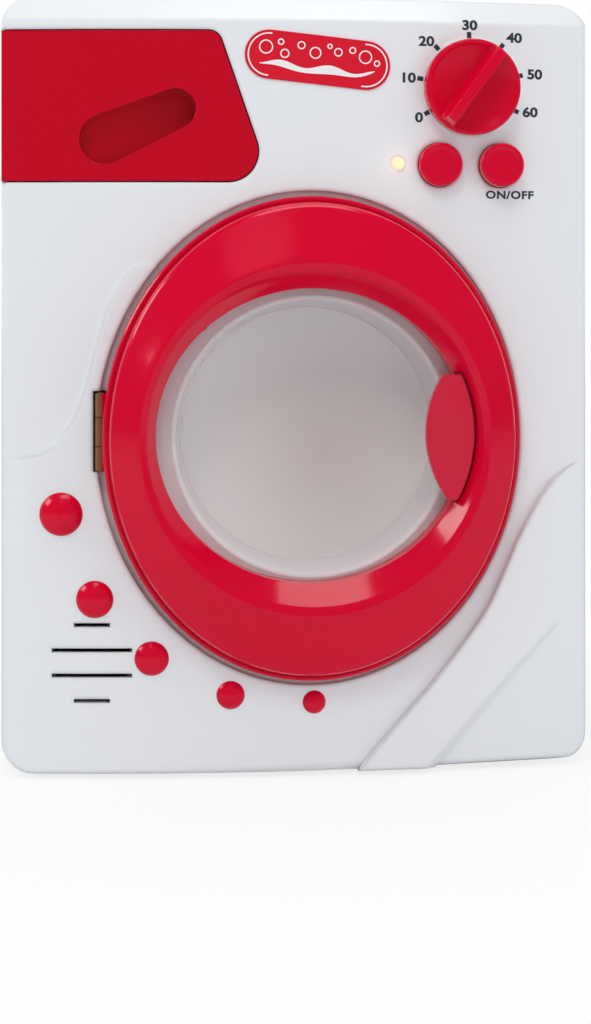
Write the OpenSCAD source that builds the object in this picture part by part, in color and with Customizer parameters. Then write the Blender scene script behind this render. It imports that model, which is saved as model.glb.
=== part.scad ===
// Toy washing machine with an opening door, a geared drum, a drawer, a dial and two buttons.
// Millimetres. The front faces -Y, +X is to the viewer's right and +Z is up. The origin is
// on the floor under the middle of the machine. Depths are measured back from the crown of
// the bulged front, and heights up from the floor.

/* [Body] */
// Width of the body
body_w = 218.5; // [202:0.5:240]
// Height of the machine, feet included
body_h = 286; // [280:1:310]
// Depth of the body behind the crown of the front
body_d = 168; // [164:1:190]
// Corner radius of the front outline
corner_r = 11.5; // [8:0.5:14]
// Wall thickness of the two body shells
wall = 2.4; // [2:0.1:3]
// Radius of the bulge across the front
bulge_r = 600; // [500:10:900]
// Height of the sloped band along the top of the front
brow_h = 9; // [4:0.5:10]
// How far the sloped band leans back
brow_d = 7; // [3:0.5:9]
// Height of the bevel along the bottom of the front
sill_h = 2.4; // [1:0.2:4]
// How far that bevel leans back
sill_d = 1; // [0.6:0.2:3]
// Radius of the rolled upright edges of the front
edge_r = 4; // [3:0.5:5]
// Depth at which the front panel meets the rear housing
seam_d = 30; // [28:1:36]
// Chamfer round the back of the rear housing
rear_chamfer = 4; // [1:0.5:8]
// Diameter of a foot pad
foot_dia = 16; // [10:1:20]
// Height of a foot pad
foot_h = 2; // [1:0.5:4]
// Distance of the feet from the sides of the body
foot_inset = 20; // [12:1:30]
// How far the field at the left leans out, which lifts it at the left and fades to the right
field_lean = 9; // [5:0.5:11]
// Height of the wave moulded at the right
wave_h = 3; // [1:0.2:4]
// Width of the recess that shows round the door
recess_w = 2.3; // [2:0.1:3]
// Depth of that recess
recess_d = 2.6; // [2.2:0.1:2.7]
// Thickness of its floor
recess_floor = 1.5; // [1.4:0.1:1.6]

/* [Door] */
// Centre of the door, to the right of the middle
door_x = 3.8; // [2:0.2:5]
// Height of the centre of the door
door_z = 124.6; // [122:0.2:128]
// Half width of the red ring
ring_rx = 76.6; // [76:0.1:78]
// Half height of the red ring
ring_rz = 88.4; // [84:0.1:90]
// How far the ring's outline hangs below the centre of the door
ring_drop = 0.6; // [0:0.1:1]
// Radius of the ridge on the ring
ridge_r = 63.5; // [62:0.1:65]
// How far the ridge stands in front of the crown
ridge_proud = 20.5; // [18:0.5:22]
// Half width of the opening in the ring
sight_rx = 56.7; // [55.5:0.1:57]
// Half height of the opening in the ring
sight_rz = 53.3; // [52:0.1:55]
// How far that opening is raised above the centre of the door
sight_rise = 0.8; // [0:0.1:1]
// How far the edge of that opening stands in front of the crown
sight_proud = 10.2; // [9.6:0.2:10.6]
// Wall of the red ring
ring_wall = 2.4; // [2:0.1:3]
// Gap between the ring and the front panel
door_gap = 0.6; // [0.4:0.1:1]
// Radius of the door hole in the front panel
hole_r = 58; // [57.5:0.1:60]
// Radius of the window bowl at its flange
bowl_r = 50; // [48:0.2:50.4]
// Radius of the window bowl at its pane
pane_r = 47; // [44:0.5:48]
// Depth of the pane behind the crown
pane_d = 19; // [12:0.5:20]
// How far the middle of the pane domes back
pane_dome = 3.6; // [1:0.2:4]
// Thickness of the clear window
window_t = 1.6; // [1.2:0.1:1.6]
// Outer radius of the window flange
flange_r = 62.2; // [61.6:0.1:62.4]
// Diameter of the hinge pin
hinge_pin_dia = 1.6; // [1.4:0.1:1.8]
// Radius of a hinge knuckle
knuckle_r = 2; // [1.8:0.1:2.1]
// Height of the hinge
hinge_h = 28; // [24:1:32]
// How far the door opens, in degrees
door_travel = 100; // [80:5:100]

/* [Door handle] */
// Width of the lens-shaped handle
handle_w = 17.4; // [16:0.2:18.4]
// Height of the full lens before its top is cut
handle_h = 52.6; // [50:0.2:54]
// Height at which the top of the handle is cut flat
handle_top_z = 147.5; // [146:0.1:149]
// Height at which its bottom end is cut flat
handle_low_z = 102.2; // [101.5:0.1:104]
// Thickness of the handle
handle_t = 4.2; // [4:0.1:4.4]
// Diameter of the handle pin
handle_pin_dia = 1.5; // [1.2:0.1:1.6]
// Travel of the handle, in degrees
handle_travel = 6; // [4:1:6]

/* [Drum and tub] */
// Outer radius of the drum
drum_r = 60; // [59:0.5:60.5]
// Wall of the drum
drum_wall = 1.6; // [1.4:0.1:2]
// Depth of the mouth of the drum
drum_front_d = 26; // [25.5:0.5:30]
// Distance from the back of the drum to the back of the body
drum_clear = 68; // [67:1:74]
// Radius of the mouth of the drum
mouth_r = 53; // [52.5:0.5:55]
// Height of a lifter inside the drum
lifter_h = 7; // [5:0.5:10]
// Number of lifters
lifter_count = 3; // [2:1:4]
// Gap between the drum and the tub
drum_gap = 3; // [2:0.5:3.5]
// Wall of the tub
tub_wall = 2; // [1.6:0.2:2.4]
// Diameter of the drum shaft
shaft_dia = 4; // [3:0.5:5]
// Outer diameter of the shaft bearing
bearing_dia = 10; // [8:0.5:12]

/* [Drive] */
// Teeth of the drum gear
drum_teeth = 60; // [48:12:60]
// Teeth of the small and motor pinions
pinion_teeth = 12; // [12:1:14]
// Teeth of the large wheel of the compound gear
wheel_teeth = 42; // [36:1:44]
// Module of the drum gear stage
drum_module = 1; // [0.9:0.05:1]
// Module of the motor stage
motor_module = 0.8; // [0.7:0.05:0.8]
// Pressure angle of the teeth
pressure_angle = 25; // [22:1:27]
// Play left on each flank
flank_play = 0.1; // [0.05:0.05:0.15]
// Face width of the drum gear
face_w = 6; // [4:0.5:6]
// Diameter of the motor can
motor_dia = 20; // [18:0.5:21]
// Length of the motor can
motor_len = 25; // [20:1:28]
// Diameter of the motor shaft
motor_shaft_dia = 2; // [1.5:0.5:2]

/* [Drawer] */
// Distance from the top of the body to the top edge of the drawer front
drawer_drop = 13.1; // [12:0.1:18]
// Height of the drawer front
drawer_h = 55; // [50:0.5:57]
// Position of the right end of the drawer front
drawer_right_x = -16; // [-20:0.5:-14]
// Slope of its right end, in degrees
drawer_slope = 19.1; // [0:0.5:24]
// Radius of its upper right corner
drawer_top_r = 5; // [3:0.5:8]
// Radius of its lower right corner
drawer_low_r = 11; // [6:0.5:14]
// Thickness of the drawer front
drawer_t = 3; // [2.4:0.2:3.4]
// Gap round the drawer front
drawer_gap = 0.5; // [0.3:0.1:0.8]
// How far the drawer front wraps along the side
drawer_wrap_d = 22; // [16:1:26]
// Length of the tray behind the crown of the front
tray_back_d = 92; // [80:1:96]
// Height of the tray
tray_h = 40; // [30:1:44]
// Wall of the tray
tray_wall = 1.8; // [1.4:0.2:2.2]
// Radius of the larger end of the finger pocket
pocket_big_r = 9.2; // [8:0.2:10]
// Radius of the smaller end of the finger pocket
pocket_small_r = 7.35; // [6:0.2:8]
// Depth of the floor of the finger pocket behind the crown
pocket_d = 12; // [9:0.5:13]

/* [Dial and buttons] */
// Position of the dial, to the right of the middle
knob_x = 63.3; // [60:0.1:66]
// Distance from the top of the body to the middle of the dial
knob_drop = 33; // [31:0.1:35]
// Radius of the dial
knob_r = 17.8; // [16:0.1:18]
// How far the grip of the dial stands in front of the crown
knob_proud = 12; // [9:0.5:15]
// Thickness of the grip bar
grip_w = 4.7; // [3.6:0.1:6]
// Direction in which the grip points at rest, in degrees
grip_angle = 54; // [0:1:90]
// Radius of the stem of the dial
stem_r = 4; // [3.5:0.1:4.4]
// Position of the start button
start_x = 51.6; // [50:0.1:53]
// Position of the power button
power_x = 74.7; // [73:0.1:77]
// Distance from the top of the body to the middle of the two buttons
button_drop = 61.6; // [59:0.1:64]
// Radius of a button
button_r = 8.05; // [7:0.05:8.4]
// How far the start button stands in front of the crown
start_proud = 2; // [1:0.1:3]
// How far the power button stands in front of the crown
power_proud = 1.8; // [1:0.1:3]
// Travel of a button
button_travel = 2.2; // [1:0.1:2.4]
// Position of the lamp
led_x = 35.9; // [34:0.1:38]
// How far the lamp lies above the middle of the buttons
led_rise = 0.4; // [-2:0.1:3]
// Diameter of the lamp
led_dia = 5; // [4:0.1:5.6]

/* [Front trim] */
// Diameter of the largest accent stud
stud_big_dia = 15.8; // [14:0.1:17]
// Diameter of the smallest accent stud
stud_small_dia = 8.5; // [7:0.1:10]
// Radius of the pegs behind the studs
peg_r = 1.9; // [1.5:0.1:2.2]
// Width of the badge plate
badge_w = 54; // [46:1:58]
// Height of the badge plate
badge_h = 18; // [14:0.5:20]
// Thickness of the badge plate
badge_t = 0.4; // [0.3:0.05:0.6]

/* [Speaker] */
// Radius of the speaker
speaker_r = 16; // [15:0.5:17]
// Middle of the speaker and its slots
speaker_x = -76.4; // [-78:0.1:-75]
// Height of the middle of the speaker
speaker_z = 42.3; // [41:0.1:43.4]
// Height of a speaker slot
slot_h = 1.5; // [1:0.1:2]
// Distance between speaker slots
slot_pitch = 9.2; // [8:0.1:10]

/* [Power supply] */
// Diameter of a battery cell
cell_dia = 14.5; // [14:0.1:14.5]
// Length of a battery cell
cell_len = 50.5; // [49:0.5:51]
// Number of cells
cell_count = 3; // [2:1:4]
// Height of the middle of the battery box
battery_z = 58; // [54:1:64]
// Wall of the battery box
box_wall = 1.6; // [1.4:0.1:2]
// Diameter of the insulation of a lead
lead_dia = 1.4; // [1.2:0.1:1.6]

/* [Fasteners] */
// Radius of a housing screw
screw_r = 1.6; // [1.4:0.1:1.8]
// Radius of a housing screw head
screw_head_r = 2.9; // [2.6:0.1:3.1]
// Height of a screw head
screw_head_h = 1.8; // [1.4:0.1:2]
// Radius of a screw boss
boss_r = 4; // [3.6:0.1:4.4]

/* [Fits] */
// Radial clearance of a screw, pin or shaft in its hole
fit = 0.08; // [0.05:0.01:0.1]
// Gap between pieces that slide or turn beside each other
slide_gap = 0.3; // [0.25:0.05:0.4]

/* [Hidden] */
$fn = 48;

white = "#eef0f2";
red = "#c8102e";
deep_red = "#a80d26";
clear = [0.85, 0.9, 0.95, 0.35];
steel = "#b8bcc0";
brass = "#c9a24a";
natural = "#e4e2da";
board_green = "#2f6b45";
black = "#25272a";
far = 400;

// The crown of the front lies this far along Y, so that the box is centred on the origin
front_y = -(body_d - ridge_proud) / 2;
body_low_z = foot_h;
half_w = body_w / 2;
brow_z = body_h - brow_h;
drum_back_d = body_d - drum_clear;
drawer_top_z = body_h - drawer_drop;
drawer_low_z = drawer_top_z - drawer_h;
knob_z = body_h - knob_drop;
button_z = body_h - button_drop;
led_z = button_z + led_rise;

// Depth of the bulged front at a distance from the middle
function bulge_at(x) = bulge_r - sqrt(bulge_r * bulge_r - x * x);
// Points of an arc
function arc(centre, r, from, to, steps = 8) =
    [for (i = [0:steps]) let (a = from + (to - from) * i / steps) centre + r * [cos(a), sin(a)]];
// A smooth curve through the points of a route, by cubic pieces between neighbours
function spline_at(p, i, t) = let (
    a = p[max(i - 1, 0)],
    b = p[i],
    c = p[i + 1],
    d = p[min(i + 2, len(p) - 1)]
) 0.5 * (2 * b + (c - a) * t + (2 * a - 5 * b + 4 * c - d) * t * t
    + (3 * b - a - 3 * c + d) * t * t * t);
function smooth(p, steps) = concat(
    [for (i = [0:len(p) - 2]) for (s = [0:steps - 1]) spline_at(p, i, s / steps)],
    [p[len(p) - 1]]
);

// A front-view outline made solid between two depths
module slab(d0, d1) {
    translate([0, front_y + d1, 0]) rotate([90, 0, 0]) linear_extrude(d1 - d0) children();
}
// A round bar along the depth
module bar(x, z, d0, d1, r) {
    translate([x, front_y + d0, z]) rotate([-90, 0, 0]) cylinder(h = d1 - d0, r = r);
}
// A tube along the depth
module tube(x, z, d0, d1, r, bore) {
    difference() {
        bar(x, z, d0, d1, r);
        bar(x, z, d0 - 1, d1 + 1, bore);
    }
}
// A cone along the depth
module cone(x, z, d0, d1, r0, r1) {
    translate([x, front_y + d0, z]) rotate([-90, 0, 0]) cylinder(h = d1 - d0, r1 = r0, r2 = r1);
}
// A turned form about an axis along the depth, its profile given as radius and depth
module turned(x, z) {
    translate([x, front_y, z]) rotate([-90, 0, 0]) rotate_extrude() children();
}
// A block between two corners, given as position, depth and height
module block(low, high) {
    translate([low[0], front_y + low[1], low[2]]) cube(high - low);
}
// A pin that stands upright
module upright(x, d, z0, z1, r) {
    translate([x, front_y + d, z0]) cylinder(h = z1 - z0, r = r);
}
// All that lies behind the bulged front, set back by an amount
module behind_bulge(back) {
    translate([0, front_y + bulge_r, -1]) cylinder(h = body_h + 2, r = bulge_r - back, $fn = 240);
}
// The same with the sloped brow along its top and the bevel along its bottom
module behind_front(back) {
    r = bulge_r - back;
    translate([0, front_y + bulge_r, 0]) {
        translate([0, 0, body_low_z]) cylinder(h = sill_h, r1 = r - sill_d, r2 = r, $fn = 240);
        translate([0, 0, body_low_z + sill_h]) {
            cylinder(h = brow_z - body_low_z - sill_h, r = r, $fn = 240);
        }
        translate([0, 0, brow_z]) cylinder(h = brow_h, r1 = r, r2 = r - brow_d, $fn = 240);
    }
}
// The rounded outline of the body, drawn in by an amount
module body_outline(inset) {
    r = corner_r - inset;
    x = half_w - corner_r;
    low = body_low_z + corner_r;
    high = body_h - corner_r;
    polygon(concat(
        arc([x, low], r, -90, 0),
        arc([x, high], r, 0, 90),
        arc([-x, high], r, 90, 180),
        arc([-x, low], r, 180, 270)
    ));
}
// The plan of the front with its rolled upright edges, drawn in by an amount
module rolled_plan(inset) {
    r = edge_r - min(inset, edge_r - 1);
    x = half_w - inset - r;
    d = bulge_at(half_w - edge_r) + edge_r;
    roll = arc([x, d + inset + r - edge_r], r, -80, 0, 6);
    translate([0, front_y, -1]) linear_extrude(body_h + 2) polygon(concat(
        [[0, -40]],
        roll,
        [[half_w - inset, far / 2], [inset - half_w, far / 2]],
        [for (i = [6:-1:0]) [-roll[i][0], roll[i][1]]]
    ));
}
// A pan-head screw along the depth, its head towards the back
module screw(x, z, tip_d, seat_d, r = screw_r, head_r = screw_head_r, head_h = screw_head_h) {
    bar(x, z, tip_d, seat_d, r);
    difference() {
        bar(x, z, seat_d, seat_d + head_h, head_r);
        slot = head_r * 0.35;
        block([x - head_r, seat_d + head_h / 2, z - slot / 2], [x + head_r, seat_d + head_h + 1, z + slot / 2]);
    }
}
// A boss with a blind hole, open towards the back
module boss(x, z, d0, d1, r, bore, depth) {
    difference() {
        bar(x, z, d0, d1, r);
        bar(x, z, d1 - depth, d1 + 1, bore);
    }
}

// Places that several pieces share, each as position and height
well_low_z = body_low_z + 12;
well_side_x = half_w - 11;
housing_screw_places = [
    [-well_side_x, well_low_z], [well_side_x, well_low_z], [-well_side_x, drawer_low_z - 13.9],
    [well_side_x, 152], [well_side_x, body_h - 14], [0, body_h - 8.5]
];
well_seat_d = 46;
well_floor = 2;
well_r = 4.5;

small_screw_r = 1.2;
small_head_r = 2.3;
small_boss_r = 3.2;

tub_r = drum_r + drum_gap;
tub_front_d = 10;
tub_back_d = drum_back_d + 6;
tub_ear_t = 3;
tub_ear_r = tub_r + 9;
tub_screw_places = [
    for (a = [45:90:315]) [door_x + tub_ear_r * cos(a), door_z + tub_ear_r * sin(a)]
];

// The window, its flange and its screws
flange_back_d = -door_gap;
flange_front_d = flange_back_d - window_t;
window_screw_r = 1;
window_screw_head_r = 1.9;
window_screw_places = [
    for (a = [45:90:315]) [door_x + (flange_r - 3.2) * cos(a), door_z + (flange_r - 3.2) * sin(a)]
];
window_boss_len = 8;

// The hinge under the left edge of the ring
hinge_x = door_x - ring_rx - 0.4;
hinge_d = bulge_at(hinge_x) - 2.6;
hinge_z = door_z + 2;
hinge_low_z = hinge_z - hinge_h / 2;
hinge_high_z = hinge_z + hinge_h / 2;
knuckle_len = (hinge_h - 2 * slide_gap) / 2.7;
fixed_low_z = hinge_z - hinge_h / 2 + (hinge_h - knuckle_len) / 2;
fixed_high_z = fixed_low_z + knuckle_len;
leaf_t = 2;
leaf_back_d = 14;
hinge_screw_places = [[hinge_x - 9, fixed_low_z - 4], [hinge_x - 9, fixed_high_z + 4]];

// The handle: a lens between two arcs, on an upright pin
handle_tip_x = door_x + 49.7;
handle_mid_z = door_z + 1.6;
handle_left = handle_w * 0.56;
handle_right = handle_w - handle_left;
handle_back_d = -sight_proud - 1.6;
handle_front_d = handle_back_d - handle_t;
function chord_r(sagitta, half_chord) = (half_chord * half_chord + sagitta * sagitta) / (2 * sagitta);
pivot_x = door_x + 54.2;
pivot_d = handle_back_d + 2.8;
barrel_r = 1.45;
barrel_low_z = handle_mid_z - 10;
barrel_high_z = handle_mid_z + 8.4;
lug_len = 5.6;
hook_w = 2.2;
hook_end_d = 10.2;
hook_low_z = handle_mid_z - 4;
hook_high_z = handle_mid_z + 4;
hook_tip_x = door_x + hole_r + 1.2;

// The drive: the drum gear, the compound gear above it to the right, then the motor
drum_pitch_r = drum_module * drum_teeth / 2;
small_pitch_r = drum_module * pinion_teeth / 2;
wheel_pitch_r = motor_module * wheel_teeth / 2;
motor_pitch_r = motor_module * pinion_teeth / 2;
compound_angle = 30;
motor_angle = 62;
compound_x = door_x + (drum_pitch_r + small_pitch_r) * cos(compound_angle);
compound_z = door_z + (drum_pitch_r + small_pitch_r) * sin(compound_angle);
motor_x = compound_x + (wheel_pitch_r + motor_pitch_r) * cos(motor_angle);
motor_z = compound_z + (wheel_pitch_r + motor_pitch_r) * sin(motor_angle);
drum_gear_d = tub_back_d + 5;
wheel_d = drum_gear_d + face_w + 2;
wheel_w = 4;
plate_d = wheel_d + wheel_w + 5;
plate_t = 2;
motor_front_d = plate_d + plate_t;
gear_pin_r = 1.5;
gear_bore_r = gear_pin_r + fit;
post_r = 4;
post_places = [
    [door_x + 44, door_z - 12], [door_x - 6, door_z + 42], [door_x + 26, door_z + 50]
];
bearing_front_d = drum_back_d + 2;
bearing_back_d = tub_back_d + 3;

// The drawer front's outline: its right end slopes, with a round corner above and below
low_corner = [drawer_right_x - drawer_low_r, drawer_low_z + drawer_low_r];
slope_n = [cos(drawer_slope), sin(drawer_slope)];
slope_reach = low_corner * slope_n + drawer_low_r - drawer_top_r;
top_corner_z = drawer_top_z - drawer_top_r;
top_corner = [(slope_reach - top_corner_z * slope_n[1]) / slope_n[0], top_corner_z];
pocket_a = [-71.9, drawer_low_z + 15.4];
pocket_b = [-46, drawer_low_z + 26.6];
pocket_wall = 1.8;
tray_low_z = drawer_low_z + 3.6;
tray_left_x = -half_w + 9.4;
tray_right_x = top_corner[0] + 1;
tray_front_d = pocket_d + 2;
guide_t = 2;
guide_front_d = 14;
guide_back_d = tray_back_d + 6;
guide_rail_h = 14;
guide_screw_places = [[-82, drawer_low_z - 8], [-44, drawer_low_z - 8]];

// The dial and the buttons
knob_back_d = bulge_at(knob_x - knob_r) - 0.4;
knob_pad_d = knob_back_d + 0.3;
knob_pad_r = knob_r + 0.2;
knob_rim_d = -3;
collar_d = 10;
stem_end_d = collar_d + slide_gap;
washer_r = 6.5;
washer_t = 1;
button_hole_r = button_r + 0.25;
button_collar_r = button_r + 1.8;
button_collar_d = bulge_at(power_x + button_r) + wall + 1;
button_flange_t = 1.6;
button_flange_r = button_r + 1.4;
plunger_r = 1.75;
switch_front_d = button_collar_d + slide_gap + button_flange_t + button_travel + 0.6;
switch_t = 6;
switch_w = 10;
board_d = switch_front_d + switch_t;
board_t = 1.6;
board_low_z = button_z - 15;
board_high_z = button_z + 13;
board_left_x = led_x - 6;
board_right_x = power_x + 12;
board_screw_places = [
    [board_left_x + 3.6, board_low_z + 4], [board_right_x - 3.6, board_low_z + 4],
    [(start_x + power_x) / 2, board_high_z - 4]
];
led_tip_d = -1.2;
led_collar_d = 9;

// The studs sit on a sweep round the door, from large to small
stud_places = [[-87.6, 96.5], [-75.4, 65.5], [-54.8, 43.9], [-26.1, 30.3], [4.6, 27.2]];
stud_shrink = [0, 0.3, 0.45, 0.75, 1];
badge_x = 6;
badge_z = body_h - 23.5;
badge_tilt = -6;

// The speaker
speaker_front_d = 13;
speaker_ring_w = 1.8;
speaker_rim_d = speaker_front_d + 1.6;
speaker_back_d = speaker_rim_d + 9;
speaker_ear_r = speaker_r + 2.4;
speaker_screw_places = [
    for (a = [150, 330]) [speaker_x + speaker_ear_r * cos(a), speaker_z + speaker_ear_r * sin(a)]
];
slot_half_w = [6.5, 14.55, 14.55, 6.5];

// The battery box lies against the inside of the back wall
back_in_d = body_d - wall;
bay_w = cell_len + 8;
cell_pitch = cell_dia + 0.8;
bay_h = cell_pitch * cell_count + 0.8;
bay_depth = cell_dia + 2;
box_front_d = back_in_d - bay_depth - box_wall;
box_flange = 5;
cover_lap = 3;
cover_t = wall;
battery_top_z = battery_z + bay_h / 2;
battery_low_z = battery_z - bay_h / 2;
cover_screw_z = battery_top_z + cover_lap + 6;
box_screw_places = [
    [-bay_w / 2 - box_wall - box_flange - 1.2, battery_z],
    [bay_w / 2 + box_wall + box_flange + 1.2, battery_z]
];

// Routes of the leads, as position, depth and height, each from its maker to the board
board_back_d = board_d + board_t;
lead_end_d = board_back_d + 0.2;
lead_end_z = board_low_z + 2.6;
battery_start = [bay_w / 2 + box_wall + 0.2, body_d - 12, 74];
battery_route = concat([battery_start], [
    [38, body_d - 13, 76], [50, body_d - 17, 81], [66, body_d - 24, 89], [80, body_d - 38, 100],
    [86, 112, 114], [87, 94, 136], [87, 76, 160], [87, 56, 182], [85, 40, 198],
    [80, 30, lead_end_z - 4]
], [[75, lead_end_d + 2, lead_end_z], [74, lead_end_d, lead_end_z]]);
motor_lead_d = motor_front_d + motor_len + 3.2;
motor_route = concat([[motor_x, motor_lead_d, motor_z]], [
    [45, motor_lead_d + 2.8, 165], [48, motor_lead_d + 2.8, 171], [56, motor_lead_d - 2.2, 179],
    [68, motor_lead_d - 12, 186], [78, 130, 191], [82, 112, 195], [81, 92, 199], [78, 70, 203],
    [73, 50, 207], [67, 34, lead_end_z]
], [[63, lead_end_d + 2, lead_end_z + 1], [62, lead_end_d, lead_end_z + 1]]);
speaker_route = concat([[speaker_x, speaker_back_d + 0.2, speaker_z]], [
    [-77, 28, 45], [-82, 36, 56], [-88, 43, 78], [-89, 46, 110], [-88, 47, 150], [-80, 46, 182],
    [-58, 42, 198], [-26, 38, 202], [6, 34, 203], [30, 30, lead_end_z - 4]
], [[44, lead_end_d + 3, lead_end_z], [46, lead_end_d, lead_end_z]]);
lead_steps = 2;
lead_sides = 8;

// The front panel: a bulged face with a skirt, moulded fields, holes and bosses
left_field = [
    [-half_w - 1, 116.3], [-95.3, 117.9], [-88, 123.4], [-80.7, 136.2], [-75.2, 156.3], [-69.7, 174.5],
    [-63.1, 184.7], [-55.2, 188.3]
];
wave_line = [
    [half_w + 1, 116.5], [94.8, 106.8], [83, 88.3], [75.3, 71.7], [67.6, 56.9], [50.3, 35], [37, 20.5],
    [25.7, 7.8], [19, 0]
];
// To the right of a line through these two points the wave sinks away towards the bottom
fall_from = [46, 2];
fall_to = [73, 36];
fall_turn = atan2(fall_to[0] - fall_from[0], fall_to[1] - fall_from[1]);
fall_slope = 40;
fall_top_z = 66;
fall_tilt = atan2(wave_h, fall_top_z - body_low_z);
// From here to the right the bottom edge of the front rises, on a plane that falls to the back
lift_from = [50, body_low_z + 0.8];
lift_rise = 2.8;
lift_fall = 19;

module field(outline) {
    difference() {
        intersection() {
            slab(-8, seam_d / 2) polygon(outline);
            slab(-8, seam_d) body_outline(0);
            children();
        }
        behind_bulge(0.2);
    }
}
// What the wave loses to the right of its fall
module wave_fall() {
    front_d = bulge_at(fall_from[0]) - wave_h;
    difference() {
        translate([fall_from[0], front_y + front_d, fall_from[1]]) rotate([0, fall_turn, 0]) {
            rotate([0, 0, fall_slope]) translate([0, -far / 2, -far / 2]) cube([far, far / 2, far]);
        }
        translate([0, front_y - wave_h, fall_top_z]) rotate([fall_tilt, 0, 0]) {
            translate([0, bulge_r + wave_h, -far]) cylinder(h = far, r = bulge_r + wave_h, $fn = 240);
        }
        translate([0, front_y - 40, fall_top_z - 1]) cube(far);
    }
}
// What the rising bottom edge takes off the lower right, raised by an amount
module bottom_lift(raise) {
    translate([lift_from[0], front_y + bulge_at(lift_from[0]), lift_from[1]]) {
        rotate([0, -lift_rise, 0]) rotate([-lift_fall, 0, 0]) {
            translate([0, -far / 2, raise - far / 2]) cube([far, far, far / 2]);
        }
    }
}
// The recess in which the door sits
module door_recess() {
    difference() {
        oval(ring_rx + recess_w, ring_rz + recess_w, -8, seam_d / 2);
        behind_bulge(recess_d);
    }
}
// The floor of that recess, which lies deeper than the rest of the wall
module recess_bottom() {
    difference() {
        intersection() {
            oval(ring_rx + recess_w + wall, ring_rz + recess_w + wall, 0, seam_d / 2);
            behind_bulge(1);
        }
        behind_bulge(recess_d + recess_floor);
        door_recess();
    }
}
module front_skin() {
    difference() {
        intersection() {
            union() {
                intersection() {
                    slab(-1, seam_d) body_outline(0);
                    behind_front(0);
                }
                field(concat(smooth(left_field, 3), [[20, 150], [20, -2], [-half_w - 1, -2]])) {
                    translate([-field_lean, 0, 0]) behind_bulge(0);
                }
                field(concat(smooth(wave_line, 3), [[half_w + 1, 0]])) difference() {
                    behind_bulge(-wave_h);
                    wave_fall();
                }
            }
            rolled_plan(0);
        }
        bottom_lift(0);
        door_recess();
    }
}
module front_cavity() {
    difference() {
        intersection() {
            slab(-1, seam_d + 1) body_outline(wall);
            behind_bulge(wall);
            translate([0, 0, -wall]) behind_front(wall);
        }
        bottom_lift(wall);
    }
}
module drawer_outline(grow) {
    left = -half_w - 1 - grow;
    polygon(concat(
        [[left, drawer_low_z - grow]],
        arc(low_corner, drawer_low_r + grow, -90, drawer_slope, 12),
        arc(top_corner, drawer_top_r + grow, drawer_slope, 90, 8),
        [[left, drawer_top_z + grow]]
    ));
}
module front_bosses() {
    bar(knob_x, knob_z, knob_pad_d, collar_d, stem_r + 2.6);
    for (x = [start_x, power_x]) bar(x, button_z, 0, button_collar_d, button_collar_r);
    bar(led_x, led_z, 0, led_collar_d, led_dia / 2 + 1.6);
    tube(speaker_x, speaker_z, 0, speaker_front_d, speaker_r, speaker_r - speaker_ring_w);
    for (p = speaker_screw_places) bar(p[0], p[1], 0, speaker_front_d, small_boss_r);
    for (p = housing_screw_places) bar(p[0], p[1], 0, well_seat_d - well_floor, boss_r);
    for (p = tub_screw_places) bar(p[0], p[1], 0, tub_front_d, small_boss_r + 0.6);
    for (p = guide_screw_places) bar(p[0], p[1], 0, guide_front_d, small_boss_r);
    for (p = board_screw_places) bar(p[0], p[1], 0, board_d, small_boss_r);
    for (p = hinge_screw_places) bar(p[0], p[1], 0, leaf_back_d - leaf_t, small_boss_r);
}
// Blind holes for the screws that end at a depth
module pilots(places, end_d, depth, r) {
    for (p = places) bar(p[0], p[1], end_d - depth, end_d + 1, r + fit);
}
module front_panel() {
    color(white) difference() {
        union() {
            difference() {
                front_skin();
                front_cavity();
            }
            recess_bottom();
            intersection() {
                front_bosses();
                behind_front(1.6);
            }
            bar(knob_x, knob_z, knob_pad_d, knob_pad_d + 7, knob_pad_r);
        }
        bar(door_x, door_z, -9, tub_front_d, hole_r);
        slab(-9, drawer_wrap_d + drawer_gap) drawer_outline(drawer_gap);
        bar(knob_x, knob_z, -9, collar_d + 1, stem_r + fit);
        for (x = [start_x, power_x]) bar(x, button_z, -9, button_collar_d + 1, button_hole_r);
        bar(led_x, led_z, -9, led_collar_d + 1, led_dia / 2 + fit);
        for (i = [0:3]) {
            z = speaker_z + (1.5 - i) * slot_pitch;
            half = slot_half_w[i];
            block([speaker_x - half, -9, z - slot_h / 2], [speaker_x + half, speaker_front_d - 1, z + slot_h / 2]);
        }
        for (p = stud_places) on_front(p) rotate([-90, 0, 0]) {
            translate([0, 0, -6]) cylinder(h = 20, r = peg_r + fit);
        }
        block(
            [hinge_x - knuckle_r - 0.8, -9, hinge_low_z - 0.8],
            [hinge_x + knuckle_r + 1, 9, hinge_high_z + 0.8]
        );
        pilots(housing_screw_places, well_seat_d - well_floor, 12, screw_r);
        pilots(tub_screw_places, tub_front_d, 4.5, small_screw_r);
        pilots(guide_screw_places, guide_front_d, 7, small_screw_r);
        pilots(board_screw_places, board_d, 7, small_screw_r);
        pilots(hinge_screw_places, leaf_back_d - leaf_t, 5, small_screw_r);
        pilots(speaker_screw_places, speaker_front_d, 5, small_screw_r);
    }
}
// Puts a form on the front or its left field, turned so that -Y points straight out of it
module on_front(place) {
    across = place[0] + (place[0] < -field_lean / 2 ? field_lean : 0);
    translate([place[0], front_y + bulge_at(across), place[1]]) rotate([0, 0, asin(across / bulge_r)]) children();
}

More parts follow.
